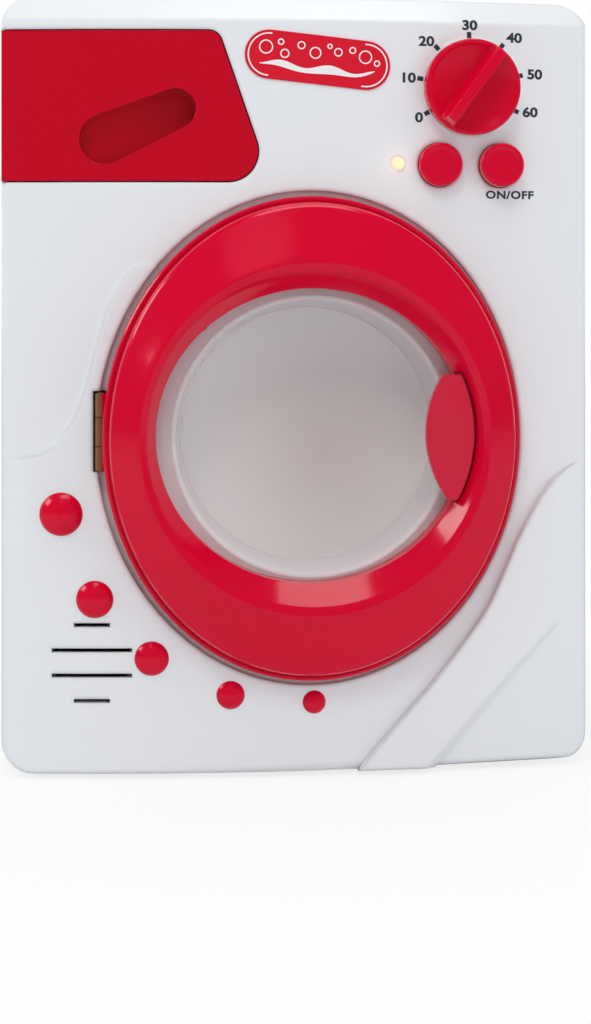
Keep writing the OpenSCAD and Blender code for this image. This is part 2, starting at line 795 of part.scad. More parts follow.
// The rear housing: a deep box with screw wells and the opening for the cells
module rear_housing() {
    lip_t = 1.2;
    lip_len = 3;
    color(white) difference() {
        union() {
            difference() {
                hull() {
                    slab(seam_d, body_d - rear_chamfer) body_outline(0);
                    slab(body_d - 1, body_d) body_outline(rear_chamfer);
                }
                slab(seam_d - 1, back_in_d) body_outline(wall);
            }
            difference() {
                union() {
                    slab(seam_d - lip_len, seam_d + 1) body_outline(wall + fit);
                    slab(seam_d, seam_d + 4) body_outline(wall - 0.5);
                }
                slab(seam_d - lip_len - 1, seam_d + 5) body_outline(wall + lip_t);
            }
            for (p = housing_screw_places) bar(p[0], p[1], well_seat_d - well_floor, body_d - 1, well_r);
        }
        for (p = housing_screw_places) {
            bar(p[0], p[1], well_seat_d, body_d + 1, screw_head_r + 0.3);
            bar(p[0], p[1], well_seat_d - well_floor - 1, well_seat_d + 1, screw_r + fit);
        }
        block(
            [-bay_w / 2 - cover_lap, back_in_d - 1, battery_low_z - cover_lap],
            [bay_w / 2 + cover_lap, body_d + 1, battery_top_z + cover_lap]
        );
        block([-7, back_in_d - 1, battery_top_z], [7, body_d + 1, cover_screw_z + 5]);
        for (p = box_screw_places) bar(p[0], p[1], back_in_d - 1, body_d - 0.4, small_screw_r + fit);
    }
}
module foot_pads() {
    color(black) for (x = [-half_w + foot_inset, half_w - foot_inset]) {
        for (d = [seam_d + foot_inset - 4, body_d - foot_inset]) {
            translate([x, front_y + d, 0]) cylinder(h = foot_h, r = foot_dia / 2);
        }
    }
}
module housing_screws() {
    color(steel) for (p = housing_screw_places) screw(p[0], p[1], well_seat_d - 13, well_seat_d);
}

// The tub: a fixed drum-shaped guard that carries the bearing and the gearbox
module tub() {
    difference() {
        color(white) union() {
            tube(door_x, door_z, tub_front_d, tub_back_d, tub_r + tub_wall, tub_r);
            bar(door_x, door_z, tub_back_d - tub_wall, tub_back_d, tub_r + 1);
            for (p = tub_screw_places) {
                bar(p[0], p[1], tub_front_d, tub_front_d + tub_ear_t, boss_r);
                bridge = [(p[0] - door_x) * 0.9 + door_x, (p[1] - door_z) * 0.9 + door_z];
                difference() {
                    bar(bridge[0], bridge[1], tub_front_d, tub_front_d + tub_ear_t, boss_r);
                    bar(door_x, door_z, tub_front_d - 1, tub_back_d, tub_r);
                }
            }
            bar(door_x, door_z, tub_back_d - 1, bearing_back_d, bearing_dia / 2 + 2.4);
            bar(compound_x, compound_z, tub_back_d - 1, drum_gear_d - 0.6, post_r);
            for (p = post_places) bar(p[0], p[1], tub_back_d - 1, plate_d, post_r);
        }
        bar(door_x, door_z, drum_back_d, bearing_back_d + 1, bearing_dia / 2 + fit);
        bar(compound_x, compound_z, tub_back_d, plate_d, gear_pin_r + fit);
        for (p = post_places) bar(p[0], p[1], plate_d - 8, plate_d + 1, small_screw_r + fit);
        for (p = tub_screw_places) bar(p[0], p[1], tub_front_d - 1, tub_front_d + tub_ear_t + 1, small_screw_r + fit);
    }
}
module tub_screws() {
    color(steel) for (p = tub_screw_places) {
        screw(p[0], p[1], tub_front_d - 4.2, tub_front_d + tub_ear_t, small_screw_r, small_head_r);
    }
}

// The drum: a smooth cup with lifters, on a shaft at its back
module drum() {
    inner = drum_r - drum_wall;
    color(natural) difference() {
        union() {
            tube(door_x, door_z, drum_front_d, drum_back_d, drum_r, inner);
            tube(door_x, door_z, drum_front_d, drum_front_d + drum_wall, drum_r - 0.5, mouth_r);
            bar(door_x, door_z, drum_back_d - drum_wall, drum_back_d, drum_r - 0.5);
            bar(door_x, door_z, drum_back_d - 6, drum_back_d + 1, 8);
            for (i = [0:lifter_count - 1]) lifter(90 + i * 360 / lifter_count, inner);
        }
        bar(door_x, door_z, drum_back_d - 5, drum_back_d + 2, shaft_dia / 2 + fit);
    }
}
module lifter(angle, inner) {
    lifter_front_d = drum_front_d + 8;
    translate([door_x, front_y + lifter_front_d, door_z]) rotate([-90, 0, 0]) rotate([0, 0, -angle]) {
        linear_extrude(drum_back_d - lifter_front_d - 8) polygon([
            [inner + 0.6, -8], [inner - lifter_h, -2.4], [inner - lifter_h, 2.4], [inner + 0.6, 8]
        ]);
    }
}
module drum_shaft() {
    color(steel) bar(door_x, door_z, drum_back_d - 4.8, drum_gear_d + face_w + 1, shaft_dia / 2);
}
module drum_bearing() {
    color(brass) tube(door_x, door_z, bearing_front_d, bearing_back_d, bearing_dia / 2, shaft_dia / 2 + fit);
}

// Involute teeth
function involute(base, r) = let (a = acos(min(1, base / r))) tan(a) * 180 / PI - a;
function tooth_half(m, teeth, r) = let (
    pitch = m * teeth / 2,
    base = pitch * cos(pressure_angle)
) 90 / teeth - flank_play / pitch * 180 / PI + involute(base, pitch) - involute(base, r);
function tooth(m, teeth, middle) = let (
    pitch = m * teeth / 2,
    tip = pitch + 0.9 * m,
    root = pitch - 1.25 * m,
    base = max(pitch * cos(pressure_angle), root),
    rise = [for (i = [0:4]) base + (tip - base) * i / 4],
    foot = tooth_half(m, teeth, base)
) concat(
    [root * [cos(middle - foot), sin(middle - foot)]],
    [for (r = rise) let (h = tooth_half(m, teeth, r)) r * [cos(middle - h), sin(middle - h)]],
    [for (i = [4:-1:0]) let (r = rise[i], h = tooth_half(m, teeth, r)) r * [cos(middle + h), sin(middle + h)]],
    [root * [cos(middle + foot), sin(middle + foot)]]
);
// A spur gear whose first tooth points along an angle of the front view
module gear(x, z, d0, d1, m, teeth, phase, bore) {
    difference() {
        translate([x, 0, z]) slab(d0, d1) {
            polygon([for (i = [0:teeth - 1]) each tooth(m, teeth, phase + i * 360 / teeth)]);
        }
        bar(x, z, d0 - 1, d1 + 1, bore);
    }
}
module drum_gear() {
    color(natural) gear(
        door_x, door_z, drum_gear_d, drum_gear_d + face_w, drum_module, drum_teeth,
        compound_angle, shaft_dia / 2 + fit
    );
}
module compound_gear() {
    small_phase = compound_angle + 180 + 180 / pinion_teeth;
    color(natural) {
        gear(
            compound_x, compound_z, drum_gear_d, wheel_d, drum_module, pinion_teeth,
            small_phase, gear_bore_r
        );
        gear(
            compound_x, compound_z, wheel_d, wheel_d + wheel_w, motor_module, wheel_teeth,
            motor_angle, gear_bore_r
        );
    }
}
module gear_pin() {
    color(steel) bar(compound_x, compound_z, tub_back_d + 0.2, plate_d + plate_t, gear_pin_r);
}
module gearbox_plate() {
    color(white) difference() {
        union() {
            slab(plate_d, plate_d + plate_t) hull() {
                for (p = post_places) translate([p[0], p[1]]) circle(post_r + 1, $fn = 32);
                translate([motor_x, motor_z]) circle(motor_dia / 2 + 3, $fn = 32);
                translate([compound_x, compound_z]) circle(post_r + 1, $fn = 32);
            }
            bar(motor_x, motor_z, plate_d, plate_d + 10, motor_dia / 2 + 2);
        }
        bar(motor_x, motor_z, plate_d + plate_t, plate_d + 11, motor_dia / 2 + fit);
        bar(motor_x, motor_z, plate_d - 1, plate_d + plate_t + 1, motor_pitch_r + 1.6);
        bar(compound_x, compound_z, plate_d - 1, plate_d + plate_t + 1, gear_pin_r + fit);
        for (p = post_places) bar(p[0], p[1], plate_d - 1, plate_d + plate_t + 1, small_screw_r + fit);
    }
}
module gearbox_screws() {
    color(steel) for (p = post_places) {
        screw(p[0], p[1], plate_d - 7, plate_d + plate_t, small_screw_r, small_head_r);
    }
}
module motor() {
    flat = motor_dia * 0.38;
    color(steel) difference() {
        union() {
            intersection() {
                bar(motor_x, motor_z, motor_front_d, motor_front_d + motor_len, motor_dia / 2);
                block(
                    [motor_x - motor_dia, motor_front_d, motor_z - flat],
                    [motor_x + motor_dia, motor_front_d + motor_len, motor_z + flat]
                );
            }
            for (s = [-1, 1]) block(
                [motor_x + s * 5 - 1, motor_front_d + motor_len - 0.01, motor_z - 0.3],
                [motor_x + s * 5 + 1, motor_front_d + motor_len + 3, motor_z + 0.3]
            );
        }
        bar(motor_x, motor_z, motor_front_d - 1, motor_front_d + motor_len - 3, motor_shaft_dia / 2 + fit);
    }
}
module motor_shaft() {
    color(steel) bar(motor_x, motor_z, wheel_d - 1, motor_front_d + 16, motor_shaft_dia / 2);
}
module motor_pinion() {
    color(brass) gear(
        motor_x, motor_z, wheel_d - 0.5, wheel_d + wheel_w + 0.5, motor_module, pinion_teeth,
        motor_angle + 180 + 180 / pinion_teeth, motor_shaft_dia / 2 + fit
    );
}

// The door: a deep red ring that carries the clear window
module oval(rx, rz, d0, d1, rise = -ring_drop) {
    translate([door_x, 0, door_z + rise]) slab(d0, d1) {
        polygon([for (i = [0:71]) [rx * cos(i * 5), rz * sin(i * 5)]]);
    }
}
// The crowned outside of the ring, drawn in by an amount
module ring_outside(inset, back_d) {
    ridge_d = inset * 1.4 - ridge_proud;
    hull() {
        oval(ring_rx - inset, ring_rz - inset, -5 + inset, back_d);
        oval(ring_rx - 1.9 - inset, ring_rz - 3.3 - inset, -9 + inset, -8.5 + inset);
        oval(ring_rx - 6.5 - inset, ring_rz - 12.3 - inset, -14.2 + inset, -13.7 + inset);
        oval(ridge_r, ridge_r, ridge_d, ridge_d + 0.1, 0);
    }
}
// The inward slope from the ridge to the opening, grown by an amount
module ring_inside(grow) {
    hull() {
        oval(ridge_r + grow, ridge_r + grow, -ridge_proud - 2, -ridge_proud, 0);
        oval(sight_rx + grow, sight_rz + grow, -sight_proud - 0.1, -sight_proud, sight_rise);
    }
    oval(sight_rx + grow, sight_rz + grow, -sight_proud - 0.1, 12, sight_rise);
}
module handle_outline(grow) {
    half = handle_h / 2;
    left_r = chord_r(handle_left, half);
    right_r = chord_r(handle_right, half);
    intersection() {
        translate([handle_tip_x - handle_left + left_r, handle_mid_z]) circle(left_r + grow, $fn = 96);
        translate([handle_tip_x + handle_right - right_r, handle_mid_z]) circle(right_r + grow, $fn = 96);
        translate([handle_tip_x - 20, handle_low_z - grow]) {
            square([40, handle_top_z - handle_low_z + 2 * grow]);
        }
    }
}
module door_ring() {
    bore = hinge_pin_dia / 2 + fit;
    color(red) difference() {
        union() {
            difference() {
                ring_outside(0, 9);
                ring_inside(0);
                difference() {
                    ring_outside(ring_wall, 10);
                    ring_inside(ring_wall);
                }
                bar(door_x, door_z, flange_front_d, 12, flange_r + 0.6);
                behind_bulge(recess_d - door_gap);
                slab(-far / 4, -sight_proud - 0.6) handle_outline(1.2);
            }
            intersection() {
                for (p = window_screw_places) {
                    bar(p[0], p[1], flange_front_d - window_boss_len, flange_front_d, small_boss_r);
                }
                difference() {
                    ring_outside(0.4, 9);
                    ring_inside(0.4);
                }
            }
            for (z = [hinge_low_z, fixed_high_z + slide_gap]) {
                high = z + fixed_low_z - slide_gap - hinge_low_z;
                upright(hinge_x, hinge_d, z, high, knuckle_r);
                block([hinge_x, hinge_d - 1.4, z], [hinge_x + 5, hinge_d + 1.4, high]);
            }
            for (z = [barrel_low_z - 0.4 - lug_len, barrel_high_z + 0.4]) block(
                [pivot_x - 1.7, -sight_proud - 0.5, z],
                [door_x + sight_rx + 1.4, flange_front_d - 0.1, z + lug_len]
            );
        }
        upright(hinge_x, hinge_d, hinge_low_z - 1, hinge_high_z + 1, bore);
        block(
            [hinge_x - 8, hinge_d - knuckle_r - 0.6, fixed_low_z - slide_gap],
            [hinge_x + knuckle_r + 1, 12, fixed_high_z + slide_gap]
        );
        upright(pivot_x, pivot_d, barrel_low_z - 8, barrel_high_z + 8, handle_pin_dia / 2 + fit);
        for (p = window_screw_places) {
            bar(p[0], p[1], flange_front_d - 6, flange_front_d + 1, window_screw_r + fit);
        }
    }
}
// The window: a clear bowl with a flange, domed at its pane
module door_window() {
    dome_r = (pane_r * pane_r + pane_dome * pane_dome) / (2 * pane_dome);
    dome = [for (i = [6:-1:0]) let (r = pane_r * i / 6) [r, pane_d + sqrt(dome_r * dome_r - r * r) - dome_r + pane_dome]];
    back = [for (i = [0:6]) let (r = (pane_r + window_t) * i / 6) [
        r, pane_d + window_t + sqrt(dome_r * dome_r - r * r * 0.94) - dome_r + pane_dome
    ]];
    color(clear) difference() {
        turned(door_x, door_z) polygon(concat(
            [[flange_r, flange_front_d], [bowl_r, flange_front_d]],
            dome, back,
            [[bowl_r + window_t, flange_back_d], [flange_r, flange_back_d]]
        ));
        block(
            [pivot_x - 3, flange_front_d - 1, hook_low_z - 1],
            [hook_tip_x + 1.2, flange_back_d + 1, hook_high_z + 1]
        );
        for (p = window_screw_places) {
            bar(p[0], p[1], flange_front_d - 1, flange_back_d + 1, window_screw_r + fit);
        }
    }
}
module window_screws() {
    sink = 0.5;
    color(steel) for (p = window_screw_places) {
        bar(p[0], p[1], flange_front_d - 5.6, flange_back_d, window_screw_r);
        bar(p[0], p[1], flange_back_d, flange_back_d + sink, window_screw_head_r);
    }
}
module door_handle() {
    color(deep_red) difference() {
        union() {
            intersection() {
                slab(handle_front_d, handle_back_d) handle_outline(0);
                translate([handle_tip_x, front_y + handle_front_d + 60, 0]) cylinder(h = far, r = 60, $fn = 120);
            }
            upright(pivot_x, pivot_d, barrel_low_z, barrel_high_z, barrel_r);
            block(
                [pivot_x - 1, handle_back_d - 1, barrel_low_z],
                [pivot_x + 1, pivot_d, barrel_high_z]
            );
            block([pivot_x - hook_w / 2, pivot_d, hook_low_z], [pivot_x + hook_w / 2, hook_end_d, hook_high_z]);
            block([pivot_x, hook_end_d - 2.4, hook_low_z], [hook_tip_x, hook_end_d, hook_high_z]);
        }
        upright(pivot_x, pivot_d, barrel_low_z - 1, barrel_high_z + 1, handle_pin_dia / 2 + fit);
    }
}
module handle_pin() {
    color(steel) upright(pivot_x, pivot_d, barrel_low_z - 5.6, barrel_high_z + 5.6, handle_pin_dia / 2);
}
module hinge_bracket() {
    color(steel) difference() {
        union() {
            upright(hinge_x, hinge_d, fixed_low_z, fixed_high_z, knuckle_r);
            block([hinge_x - leaf_t / 2, hinge_d, fixed_low_z], [hinge_x + leaf_t / 2, leaf_back_d, fixed_high_z]);
            block(
                [hinge_screw_places[0][0] - 4, leaf_back_d - leaf_t, fixed_low_z - 8],
                [hinge_x + leaf_t / 2, leaf_back_d, fixed_high_z + 8]
            );
        }
        upright(hinge_x, hinge_d, fixed_low_z - 1, fixed_high_z + 1, hinge_pin_dia / 2 + fit);
        for (p = hinge_screw_places) bar(p[0], p[1], leaf_back_d - leaf_t - 1, leaf_back_d + 1, small_screw_r + fit);
    }
}
module hinge_pin() {
    color(steel) upright(hinge_x, hinge_d, hinge_low_z - 0.3, hinge_high_z + 0.3, hinge_pin_dia / 2);
}
module hinge_screws() {
    color(steel) for (p = hinge_screw_places) {
        screw(p[0], p[1], leaf_back_d - leaf_t - 4.6, leaf_back_d, small_screw_r, small_head_r);
    }
}

// The drawer: a bulged front that wraps the side, a finger pocket and an open tray
module pocket(grow, d0, d1) {
    hull() {
        bar(pocket_a[0], pocket_a[1], d0, d1, pocket_big_r + grow, $fn = 32);
        bar(pocket_b[0], pocket_b[1], d0, d1, pocket_small_r + grow, $fn = 32);
    }
}
module detergent_drawer() {
    color(red) difference() {
        union() {
            difference() {
                intersection() {
                    slab(-2, drawer_wrap_d) drawer_outline(0);
                    slab(-2, seam_d) body_outline(0);
                    behind_bulge(0);
                }
                intersection() {
                    behind_bulge(drawer_t);
                    block([-half_w + drawer_t, 0, 0], [half_w, far / 4, body_h]);
                }
            }
            intersection() {
                pocket(pocket_wall, 1, pocket_d + pocket_wall);
                behind_bulge(0.5);
            }
            intersection() {
                difference() {
                    block([tray_left_x, 2, tray_low_z], [tray_right_x, tray_back_d, tray_low_z + tray_h]);
                    block(
                        [tray_left_x + tray_wall, tray_front_d + tray_wall, tray_low_z + tray_wall],
                        [tray_right_x - tray_wall, tray_back_d - tray_wall, tray_low_z + tray_h + 1]
                    );
                    block(
                        [tray_left_x + tray_wall, -2, tray_low_z + tray_wall],
                        [tray_right_x - tray_wall, tray_front_d, tray_low_z + tray_h + 1]
                    );
                }
                behind_bulge(1);
            }
        }
        pocket(0, -4, pocket_d);
    }
}
module drawer_guide() {
    low = tray_low_z - slide_gap - guide_t;
    left = tray_left_x - slide_gap;
    right = tray_right_x + slide_gap;
    color(white) difference() {
        union() {
            block([left - guide_t, guide_front_d, low], [right + guide_t, guide_back_d, low + guide_t]);
            block([left - guide_t, guide_front_d, low], [left, guide_back_d, low + guide_rail_h]);
            block([right, guide_front_d, low], [right + guide_t, guide_back_d, low + guide_rail_h]);
            block([left, guide_back_d - guide_t, low], [right, guide_back_d, low + guide_rail_h]);
            block(
                [guide_screw_places[0][0] - 6, guide_front_d, guide_screw_places[0][1] - 5],
                [guide_screw_places[1][0] + 6, guide_front_d + guide_t, low + guide_t]
            );
        }
        for (p = guide_screw_places) {
            bar(p[0], p[1], guide_front_d - 1, guide_front_d + guide_t + 1, small_screw_r + fit);
        }
    }
}
module guide_screws() {
    color(steel) for (p = guide_screw_places) {
        screw(p[0], p[1], guide_front_d - 6, guide_front_d + guide_t, small_screw_r, small_head_r);
    }
}

// The dial: a dished disc with a tall grip across it
module program_knob() {
    color(red) difference() {
        union() {
            bar(knob_x, knob_z, knob_rim_d, knob_back_d, knob_r);
            cone(knob_x, knob_z, knob_rim_d - 0.8, knob_rim_d, knob_r - 0.8, knob_r);
            bar(knob_x, knob_z, knob_rim_d, stem_end_d, stem_r);
            intersection() {
                translate([knob_x, front_y, knob_z]) rotate([0, -grip_angle, 0]) {
                    translate([-knob_r, -knob_proud, -grip_w / 2]) cube([knob_r * 2, knob_proud, grip_w]);
                }
                cone(knob_x, knob_z, -knob_proud, 0, knob_r - 2.4, knob_r - 0.3);
            }
        }
        for (s = [-1, 1]) translate([knob_x, front_y, knob_z]) rotate([0, -grip_angle, 0]) {
            translate([0, knob_rim_d - 0.9, s * grip_w / 2]) dish(s);
        }
        bar(knob_x, knob_z, stem_end_d - 8, stem_end_d + 1, small_screw_r + fit);
    }
}
// Half of a shallow turned dish, on one side of the grip
module dish(side) {
    reach = knob_r - 1.6;
    intersection() {
        rotate([-90, 0, 0]) translate([0, side * grip_w / 2, 0]) cylinder(h = 2.6, r1 = reach, r2 = reach - 3);
        translate([-far / 2, -1, side > 0 ? 0 : -far]) cube([far, 10, far]);
    }
}
module knob_washer() {
    color(steel) tube(knob_x, knob_z, stem_end_d, stem_end_d + washer_t, washer_r, small_screw_r + fit);
}
module knob_screw() {
    color(steel) screw(knob_x, knob_z, stem_end_d - 7, stem_end_d + washer_t, small_screw_r, small_head_r + 0.4);
}

// A push button: a cap, a stop flange behind the collar and a plunger
module button(x, proud) {
    flange_d = button_collar_d + slide_gap;
    crown = 0.5;
    color(red) {
        cone(x, button_z, -proud - crown, -proud, button_r - 0.9, button_r);
        bar(x, button_z, -proud, flange_d + 0.5, button_r);
        bar(x, button_z, flange_d, flange_d + button_flange_t, button_flange_r);
        bar(x, button_z, flange_d + 0.5, switch_front_d + 2.6, plunger_r);
    }
}
module start_button() button(start_x, start_proud);
module power_button() {
    dish_r = 30;
    difference() {
        button(power_x, power_proud);
        translate([power_x, front_y - power_proud - dish_r + 0.1, button_z]) sphere(r = dish_r, $fn = 96);
    }
}
module switch(x) {
    w = switch_w / 2;
    color(black) difference() {
        block([x - w, switch_front_d, button_z - w], [x + w, board_d, button_z + w]);
        bar(x, button_z, switch_front_d - 1, board_d - 0.6, plunger_r + fit);
    }
}
module start_switch() switch(start_x);
module power_switch() switch(power_x);
module circuit_board() {
    color(board_green) difference() {
        block([board_left_x, board_d, board_low_z], [board_right_x, board_d + board_t, board_high_z]);
        for (p = board_screw_places) bar(p[0], p[1], board_d - 1, board_d + board_t + 1, small_screw_r + fit);
        for (s = [-1, 1]) bar(led_x + s * 1.27, led_z, board_d - 1, board_d + board_t + 1, 0.4);
    }
}
module board_screws() {
    color(steel) for (p = board_screw_places) {
        screw(p[0], p[1], board_d - 6, board_d + board_t, small_screw_r, small_head_r);
    }
}
module led() {
    r = led_dia / 2;
    color("#ffe9a8") {
        intersection() {
            translate([led_x, front_y + led_tip_d + r, led_z]) sphere(r = r);
            bar(led_x, led_z, led_tip_d - 1, led_tip_d + r, r);
        }
        bar(led_x, led_z, led_tip_d + r, led_collar_d, r);
        bar(led_x, led_z, led_collar_d, led_collar_d + 1, r + 0.4);
        for (s = [-1, 1]) bar(led_x + s * 1.27, led_z, led_collar_d + 0.5, board_d + board_t + 1, 0.3);
    }
}

// The speaker behind the slots
module speaker() {
    color(black) difference() {
        union() {
            bar(speaker_x, speaker_z, speaker_front_d, speaker_rim_d, speaker_r);
            for (p = speaker_screw_places) bar(p[0], p[1], speaker_front_d, speaker_rim_d, small_boss_r);
            cone(speaker_x, speaker_z, speaker_rim_d - 0.5, speaker_rim_d + 5, speaker_r - 2, speaker_r * 0.6);
            bar(speaker_x, speaker_z, speaker_rim_d + 4, speaker_back_d, speaker_r * 0.5);
        }
        cone(speaker_x, speaker_z, speaker_front_d - 0.1, speaker_rim_d + 3, speaker_r - 3.4, 4);
        for (p = speaker_screw_places) {
            bar(p[0], p[1], speaker_front_d - 1, speaker_rim_d + 1, small_screw_r + fit);
        }
    }
}
module speaker_screws() {
    color(steel) for (p = speaker_screw_places) {
        screw(p[0], p[1], speaker_front_d - 4.6, speaker_rim_d, small_screw_r, small_head_r);
    }
}

// The battery box, its cells, contacts and cover
module battery_box() {
    w = bay_w / 2;
    color(white) difference() {
        union() {
            block(
                [-w - box_wall, box_front_d, battery_low_z - box_wall],
                [w + box_wall, back_in_d, battery_top_z + box_wall]
            );
            block(
                [-w - box_wall - 2 * box_flange, back_in_d - 2, battery_z - 6],
                [w + box_wall + 2 * box_flange, back_in_d, battery_z + 6]
            );
            bar(0, cover_screw_z, back_in_d - 10, back_in_d, boss_r);
            block([-3, back_in_d - 10, battery_top_z], [3, back_in_d, cover_screw_z]);
        }
        block([-w, box_front_d + box_wall, battery_low_z], [w, body_d, battery_top_z]);
        for (p = box_screw_places) bar(p[0], p[1], back_in_d - 3, body_d, small_screw_r + fit);
        bar(0, cover_screw_z, back_in_d - 8, body_d, small_screw_r + fit);
    }
}
module battery_box_screws() {
    color(steel) for (p = box_screw_places) {
        bar(p[0], p[1], back_in_d - 2, body_d - 0.6, small_screw_r);
        bar(p[0], p[1], back_in_d - 2 - screw_head_h, back_in_d - 2, small_head_r);
    }
}
cell_d = box_front_d + box_wall + 0.2 + cell_dia / 2;
module battery_cells() {
    color(brass) for (i = [0:cell_count - 1]) {
        z = battery_z + (i - (cell_count - 1) / 2) * cell_pitch;
        turn = i % 2 == 0 ? 1 : -1;
        translate([-turn * cell_len / 2, front_y + cell_d, z]) rotate([0, turn * 90, 0]) {
            cylinder(h = cell_len - 1, r = cell_dia / 2);
            cylinder(h = cell_len, r = 2.7);
        }
    }
}
module battery_contacts() {
    t = 0.4;
    w = bay_w / 2;
    color(steel) for (i = [0:cell_count - 1]) for (s = [-1, 1]) {
        z = battery_z + (i - (cell_count - 1) / 2) * cell_pitch;
        x = s > 0 ? w - t : -w;
        block([x, cell_d - 5, z - 5], [x + t, cell_d + 5, z + 5]);
        translate([s * (w - t), front_y + cell_d, z]) rotate([0, -s * 90, 0]) {
            cylinder(h = (bay_w - cell_len) / 2 - t - 0.1, r1 = 4, r2 = 2);
        }
    }
}
module battery_cover() {
    gap = 0.3;
    w = bay_w / 2 + cover_lap - gap;
    color(white) difference() {
        union() {
            block([-w, back_in_d, battery_low_z - cover_lap + gap], [w, body_d, battery_top_z + cover_lap - gap]);
            block([-7 + gap, back_in_d, battery_top_z], [7 - gap, body_d, cover_screw_z + 5 - gap]);
        }
        bar(0, cover_screw_z, back_in_d - 1, body_d + 1, small_screw_r + fit);
        bar(0, cover_screw_z, body_d - 1.4, body_d + 1, small_head_r + 0.3);
    }
}
module battery_cover_screw() {
    color(steel) screw(0, cover_screw_z, back_in_d - 6, body_d - 1.4, small_screw_r, small_head_r, 1.2);
}

// The five red studs, each with a domed cap and a peg
module accent_stud(i) {
    dia = stud_big_dia + (stud_small_dia - stud_big_dia) * stud_shrink[i - 1];
    r = dia / 2;
    rise = dia * 0.24;
    dome_r = (r * r + rise * rise) / (2 * rise);
    stand = 0.05 + bulge_at(r);
    color(red) on_front(stud_places[i - 1]) {
        translate([0, -stand, 0]) rotate([90, 0, 0]) {
            intersection() {
                translate([0, 0, rise - dome_r]) sphere(r = dome_r, $fn = 96);
                cylinder(h = rise + 1, r = r);
            }
        }
        translate([0, -stand - 0.4, 0]) rotate([-90, 0, 0]) cylinder(h = 6.5, r = peg_r);
    }
}
module front_badge() {
    color(red) intersection() {
        slab(-4, 8) translate([badge_x, badge_z]) rotate(badge_tilt) {
            x = (badge_w - badge_h) / 2;
            polygon(concat(
                arc([x, 0], badge_h / 2, -90, 90, 16),
                arc([-x, 0], badge_h / 2, 90, 270, 16)
            ));
        }
        difference() {
            behind_bulge(-badge_t - 0.03);
            behind_bulge(-0.03);
        }
    }
}

// An insulated lead: one tube swept along its smoothed route
function unit(v) = v / norm(v);
function tangent(p, i) = unit(p[min(i + 1, len(p) - 1)] - p[max(i - 1, 0)]);
module lead(route, from, to) {
    last = len(route) - 1;
    path = smooth(
        [for (i = [0:last]) [route[i][0], front_y + route[i][1], route[i][2]] + from + (to - from) * i / last],
        lead_steps
    );
    count = len(path);
    sides = [
        for (
            i = 0, n = unit(cross(tangent(path, 0), [0.2, 0.1, 1]));
            i < count;
            i = i + 1, n = unit(n - tangent(path, min(i, count - 1)) * (n * tangent(path, min(i, count - 1))))
        ) n
    ];
    points = [
        for (i = [0:count - 1]) let (n = sides[i], b = cross(tangent(path, i), n))
            for (k = [0:lead_sides - 1]) let (a = k * 360 / lead_sides)
                path[i] + lead_dia / 2 * (n * cos(a) + b * sin(a))
    ];
    walls = [
        for (i = [0:count - 2]) for (k = [0:lead_sides - 1]) let (
            next = (k + 1) % lead_sides,
            a = i * lead_sides
        ) [a + k, a + lead_sides + k, a + lead_sides + next, a + next]
    ];
    ends = [
        [for (k = [0:lead_sides - 1]) k],
        [for (k = [lead_sides - 1:-1:0]) (count - 1) * lead_sides + k]
    ];
    polyhedron(points, concat(walls, ends));
}
// Two leads side by side, their spacing given at both ends
module lead_pair(route, from, to) {
    for (s = [-0.5, 0.5]) lead(route, s * from, s * to);
}
module battery_leads() color("#b03030") lead_pair(battery_route, [0, 3, 0], [3, 0, 0]);
module motor_leads() color("#303030") lead_pair(motor_route, [10, 0, 0], [1, 0, 3]);
module speaker_leads() color("#d0b040") lead_pair(speaker_route, [3, 0, 0], [0, 0, -3]);

front_panel();
rear_housing();
foot_pads();
housing_screws();
tub();
tub_screws();
drum();
drum_shaft();
drum_bearing();
drum_gear();
compound_gear();
gear_pin();
gearbox_plate();
gearbox_screws();
motor();
motor_shaft();
motor_pinion();
door_ring();
door_window();
window_screws();
door_handle();
handle_pin();
hinge_bracket();
hinge_pin();
hinge_screws();
detergent_drawer();
drawer_guide();
guide_screws();
program_knob();
knob_washer();
knob_screw();
start_button();
power_button();
start_switch();
power_switch();
circuit_board();
board_screws();
led();
speaker();
speaker_screws();
battery_box();
battery_box_screws();
battery_contacts();
battery_cells();
battery_cover();
battery_cover_screw();
accent_stud(1);  // accent_stud_1
accent_stud(2);  // accent_stud_2
accent_stud(3);  // accent_stud_3
accent_stud(4);  // accent_stud_4
accent_stud(5);  // accent_stud_5
front_badge();
battery_leads();
speaker_leads();
motor_leads();
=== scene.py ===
import math

import bmesh
import bpy
from mathutils import Matrix, Vector


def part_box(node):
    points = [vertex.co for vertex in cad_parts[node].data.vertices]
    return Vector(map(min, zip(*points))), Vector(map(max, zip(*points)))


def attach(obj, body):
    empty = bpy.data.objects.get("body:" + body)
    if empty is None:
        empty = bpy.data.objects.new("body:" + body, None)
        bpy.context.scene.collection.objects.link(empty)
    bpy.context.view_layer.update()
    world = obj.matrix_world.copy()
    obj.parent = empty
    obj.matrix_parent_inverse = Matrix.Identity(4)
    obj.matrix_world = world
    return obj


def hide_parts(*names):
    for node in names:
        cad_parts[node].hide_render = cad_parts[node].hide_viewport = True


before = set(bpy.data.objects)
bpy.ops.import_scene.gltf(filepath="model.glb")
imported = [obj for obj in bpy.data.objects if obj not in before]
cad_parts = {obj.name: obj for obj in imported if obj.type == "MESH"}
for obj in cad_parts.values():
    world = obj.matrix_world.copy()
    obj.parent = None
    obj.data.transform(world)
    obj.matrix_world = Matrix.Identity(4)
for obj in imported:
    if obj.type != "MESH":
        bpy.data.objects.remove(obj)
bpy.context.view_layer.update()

# The whole object
# A toy washing machine in white and red moulded plastic, its front facing -Y. The scene is in
# metres, and the sizes of its pieces are in millimetres. The bulged front is crowned at FRONT_Y,
# and a depth is measured back from there.
FRONT_Y = -0.07375
BULGE_R = 0.600


